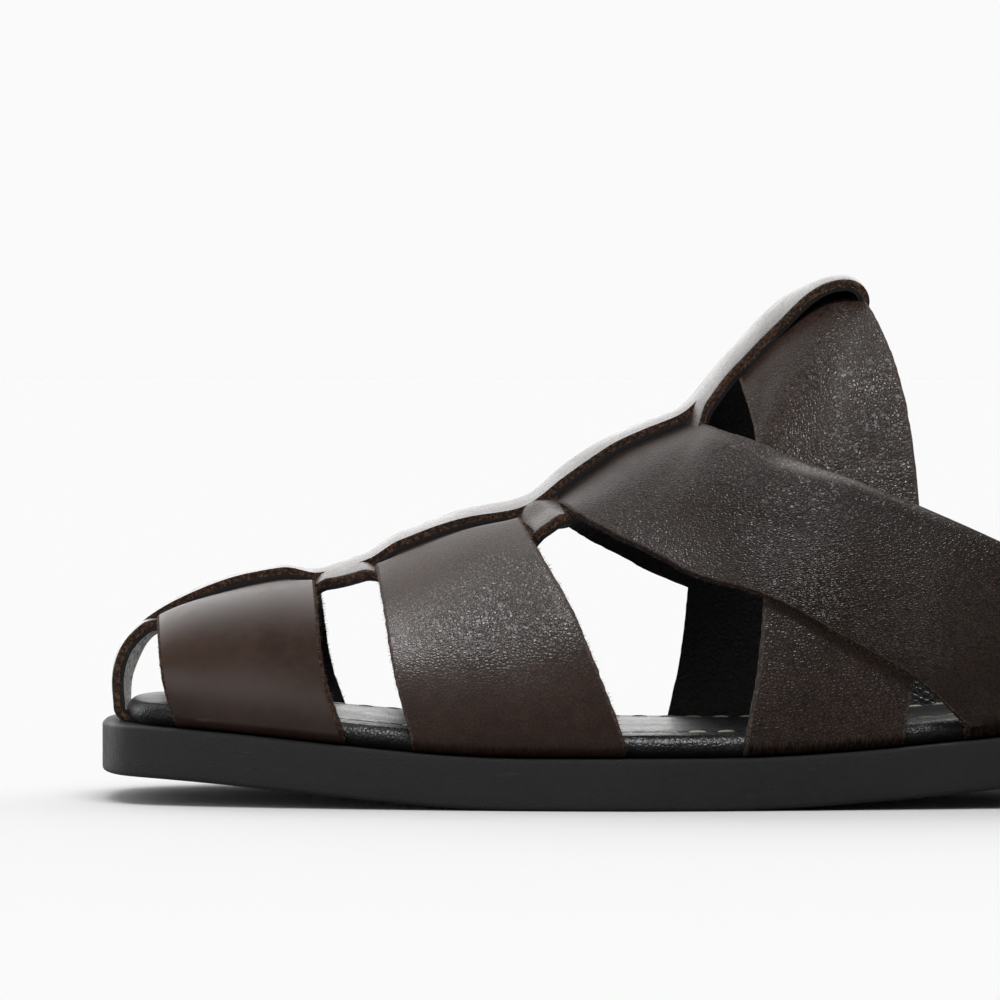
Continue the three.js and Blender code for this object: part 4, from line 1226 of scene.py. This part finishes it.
def spine_offset(x, girth, across, raised):
    """How far the strip's inner face lies off the last, and how far its middle and margins are parted."""
    offset, parted = np.zeros_like(x), np.zeros_like(x)
    for name in ("toe", "vamp", "slant"):
        strap = STRAPS[name]
        inside = inside_strap(strap, x, girth, RAMP, -RAMP)
        over = lens_over(strap, x, girth) * (STRAP_THICK - strap["dip"]) + LYING_GAP * inside
        offset += np.where(raised > 0, over, -MARGIN_DIVE * inside)
        parted = np.maximum(parted, inside)
    gap = strap_edges(STRAPS["vamp"], girth)[1], strap_edges(STRAPS["slant"], girth)[0]
    neck = smoothstep(x, gap[0] - NECK_RAMP, gap[0]) * (1 - smoothstep(x, gap[1], gap[1] + NECK_RAMP))
    offset -= NECK_DROOP * neck * smoothstep(np.abs(across), SLIT, NECK_EDGE)
    front = strap_edges(STRAPS["instep"], girth)[0]
    offset += (STRAP_THICK + LYING_GAP) * smoothstep(x, front - INSTEP_RAMP, front + 1)
    start, end = [float(edge) for edge in strap_edges(STRAPS["instep"], np.array(0.0))]
    lifted = FOLD_RISE + MARGIN_LIFT * (across / SPINE_WIDTH[-1, 1]) ** 2
    offset += lifted * smoothstep(x, start + FOLD_AFTER, end - FOLD_RADIUS)
    return offset, parted


def spine_face(section):
    """Rows of the strip at sections of the last: points, normals, offsets, thickness, parting."""
    at = rows_at(LAST, section)[:, 0] * LENGTH / 100
    half_width = read_at(SPINE_WIDTH, np.clip(at, 0, SPINE_WIDTH[-1, 0]))[:, 1]
    columns = [spine_columns(half) for half in half_width]
    across = np.stack([c[0] for c in columns])
    raised = np.stack([c[1] for c in columns])
    grid = np.broadcast_to(section[:, None], across.shape)
    girth = girth_across(grid, across)
    point, normal = last_point(grid, girth), last_normal(grid, girth)
    offset, parted = spine_offset(point[..., 0], girth, across, raised)
    near = np.clip(half_width[:, None] - np.abs(across), 0, None)
    return point, normal, offset, SPINE_THICK - edge_drop(near), parted


def fold_section(run):
    rear = strap_edges(STRAPS["instep"], np.array(0.0))[1]
    return section_at(rear - FOLD_RADIUS - np.asarray(run, float), np.zeros(np.shape(run)))


def make_spine():
    end = float(fold_section(0.0))
    section = np.linspace(0, end, SPINE_ROWS + 1)
    point, normal, offset, thick, parted = spine_face(section)
    inner = point + normal * offset[..., None]
    rows = tuck_rows(point[0], normal[0], thick[0])[::-1] + list(zip(inner, normal, thick))
    lead = len(rows) - len(section)
    along = unit(point[-1] - point[-2])
    radius = (offset[-1] + FOLD_RISE)[:, None] / 2
    centre = inner[-1] - normal[-1] * radius
    for angle in np.linspace(0, math.pi, 15)[1:]:
        facing = along * math.sin(angle) + normal[-1] * math.cos(angle)
        rows.append((centre + facing * radius, facing, thick[-1]))
    leaf = spine_face(fold_section(np.linspace(LEAF_START, FOLD_UNDER, LEAF_ROWS)))
    for k in range(LEAF_ROWS):
        rows.append((leaf[0][k] - leaf[1][k] * LYING_GAP, -leaf[1][k], leaf[3][k]))
    stacked = [np.stack(layer) for layer in zip(*rows)]
    columns = point.shape[1]
    doubled = [j for j in range(columns - 1) if np.allclose(point[10, j], point[10, j + 1])]
    slits = {}
    for j in doubled:
        cut = np.zeros(len(rows) - 1, bool)
        open_row = parted[:, j] > 0
        cut[lead:lead + len(section) - 1] = open_row[:-1] | open_row[1:]
        slits[j] = cut
    return leather_strip("strap_spine", *stacked, {"grain": SPINE_GRAIN, "painted_highlight": 0.0}, SPINE_LEATHER, slits)


strips["spine"] = make_spine()
print("middle strip faces:", len(strips["spine"][0].data.polygons))

# %% [markdown]
# ## A lamp for the toe's lining
# The lining under the toe end shows pale in the photograph and carries a pale grey painted sheen, but here
# the shoe itself would shade it. One more lamp falls on the middle strip alone. It casts no shadow and stays
# out of the reflections.

# %% Toe fill lamp
toe_fill = soft_sun("toe_fill", (0.8, -0.6, 0.1), spread=20, energy=1.2)
toe_fill.data.use_shadow = False
toe_fill.visible_glossy = False
link_light(toe_fill, strips["spine"][0], "INCLUDE")
print("toe fill lamp on", strips["spine"][0].name)

# %% [markdown]
# ## Fibres on the raw edges
# A cut leather edge is never quite clean: short brown fibres stand out of it. They are far too many to place
# by hand, so Geometry Nodes scatter thin spikes along the frayed edges, turned at random but from a fixed
# seed. In the table 0 is a strip's first edge and 1 its other edge. The edges left out look clean in the
# photograph.

# %% Edge fibres
FIBRE_SPACING = 0.28
FIBRE_LONG = 0.9
FIBRE_THICK = 0.13
FIBRE_SHORTEST = 0.2
FIBRE_SEED = 11
FRAYED = {"toe": (0, 1), "vamp": (0, 1), "slant": (0,), "spine": (0, 1)}


def fibre_tree():
    tree, sockets, entry, _, stand, real, paint = path_scatter(
        "edge_fibres", [("Spacing", "Float"), ("Long", "Float"), ("Thick", "Float"), ("Seed", "Int")], FIBRE)
    spike, outward = new_nodes(tree, "GeometryNode", "MeshCone", "InputNamedAttribute")
    tilt, length, turn_to = new_nodes(
        tree, "FunctionNode", "RandomValue", "RandomValue", "AlignRotationToVector")
    lean = tree.nodes.new("ShaderNodeVectorMath")
    spike.fill_type = "NONE"
    spike.inputs["Vertices"].default_value = 3
    outward.data_type = "FLOAT_VECTOR"
    outward.inputs["Name"].default_value = "outward"
    tilt.data_type = "FLOAT_VECTOR"
    tilt.inputs[0].default_value = (-1, -1, -1)
    tilt.inputs[1].default_value = (1, 1, 1)
    length.data_type = "FLOAT"
    length.inputs[2].default_value = FIBRE_SHORTEST
    length.inputs[3].default_value = 1.0
    lean.operation = "ADD"
    wire(tree, (entry, "Thick", spike, "Radius Bottom"), (entry, "Long", spike, "Depth"),
         (entry, "Seed", tilt, "Seed"), (entry, "Seed", length, "Seed"), (outward, 0, lean, 0),
         (tilt, 0, lean, 1), (lean, 0, turn_to, "Vector"), (turn_to, 0, stand, "Rotation"),
         (length, 1, stand, "Scale"), (spike, "Mesh", stand, "Instance"), (real, 0, paint, "Geometry"))
    return tree, sockets


def make_fibres():
    points, edges, vectors = [], [], []
    for name, ends in FRAYED.items():
        for line, outward in (strips[name][1][k] for k in ends):
            start = len(points)
            points += list(line)
            vectors += list(outward)
            edges += [(start + k, start + k + 1) for k in range(len(line) - 1)]
    tree, sockets = fibre_tree()
    values = {"Spacing": FIBRE_SPACING * MM, "Long": FIBRE_LONG * MM, "Thick": FIBRE_THICK * MM / 2,
              "Seed": FIBRE_SEED}
    return grow(path_object("fibre_paths", points, edges, vectors), "edge_fibres", tree, sockets, values)


fibres = make_fibres()
print("fibre faces:", len(fibres.data.polygons))

# %% [markdown]
# ## The pieces on the body
# Each piece rides on the shoe's one body, and the CAD solid that it stands for is hidden. Only the fold of
# the middle strip stands about 2 mm higher than the CAD model.

# %% Frame and triangle count
for piece, node, finish in ((outsole, "outsole", "sole_rubber"), (heel_lift, "heel_lift", "sole_rubber"),
                            (insole, "insole", "insole_leather"), (stitches, "insole", "thread")):
    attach(piece, "root")
    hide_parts(node)
for piece in [strip[0] for strip in strips.values()] + [fibres]:
    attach(piece, "root")
    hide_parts("upper")

triangles = 0
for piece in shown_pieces():
    piece.data.calc_loop_triangles()
    triangles += len(piece.data.loop_triangles)
print("triangles shown:", triangles)
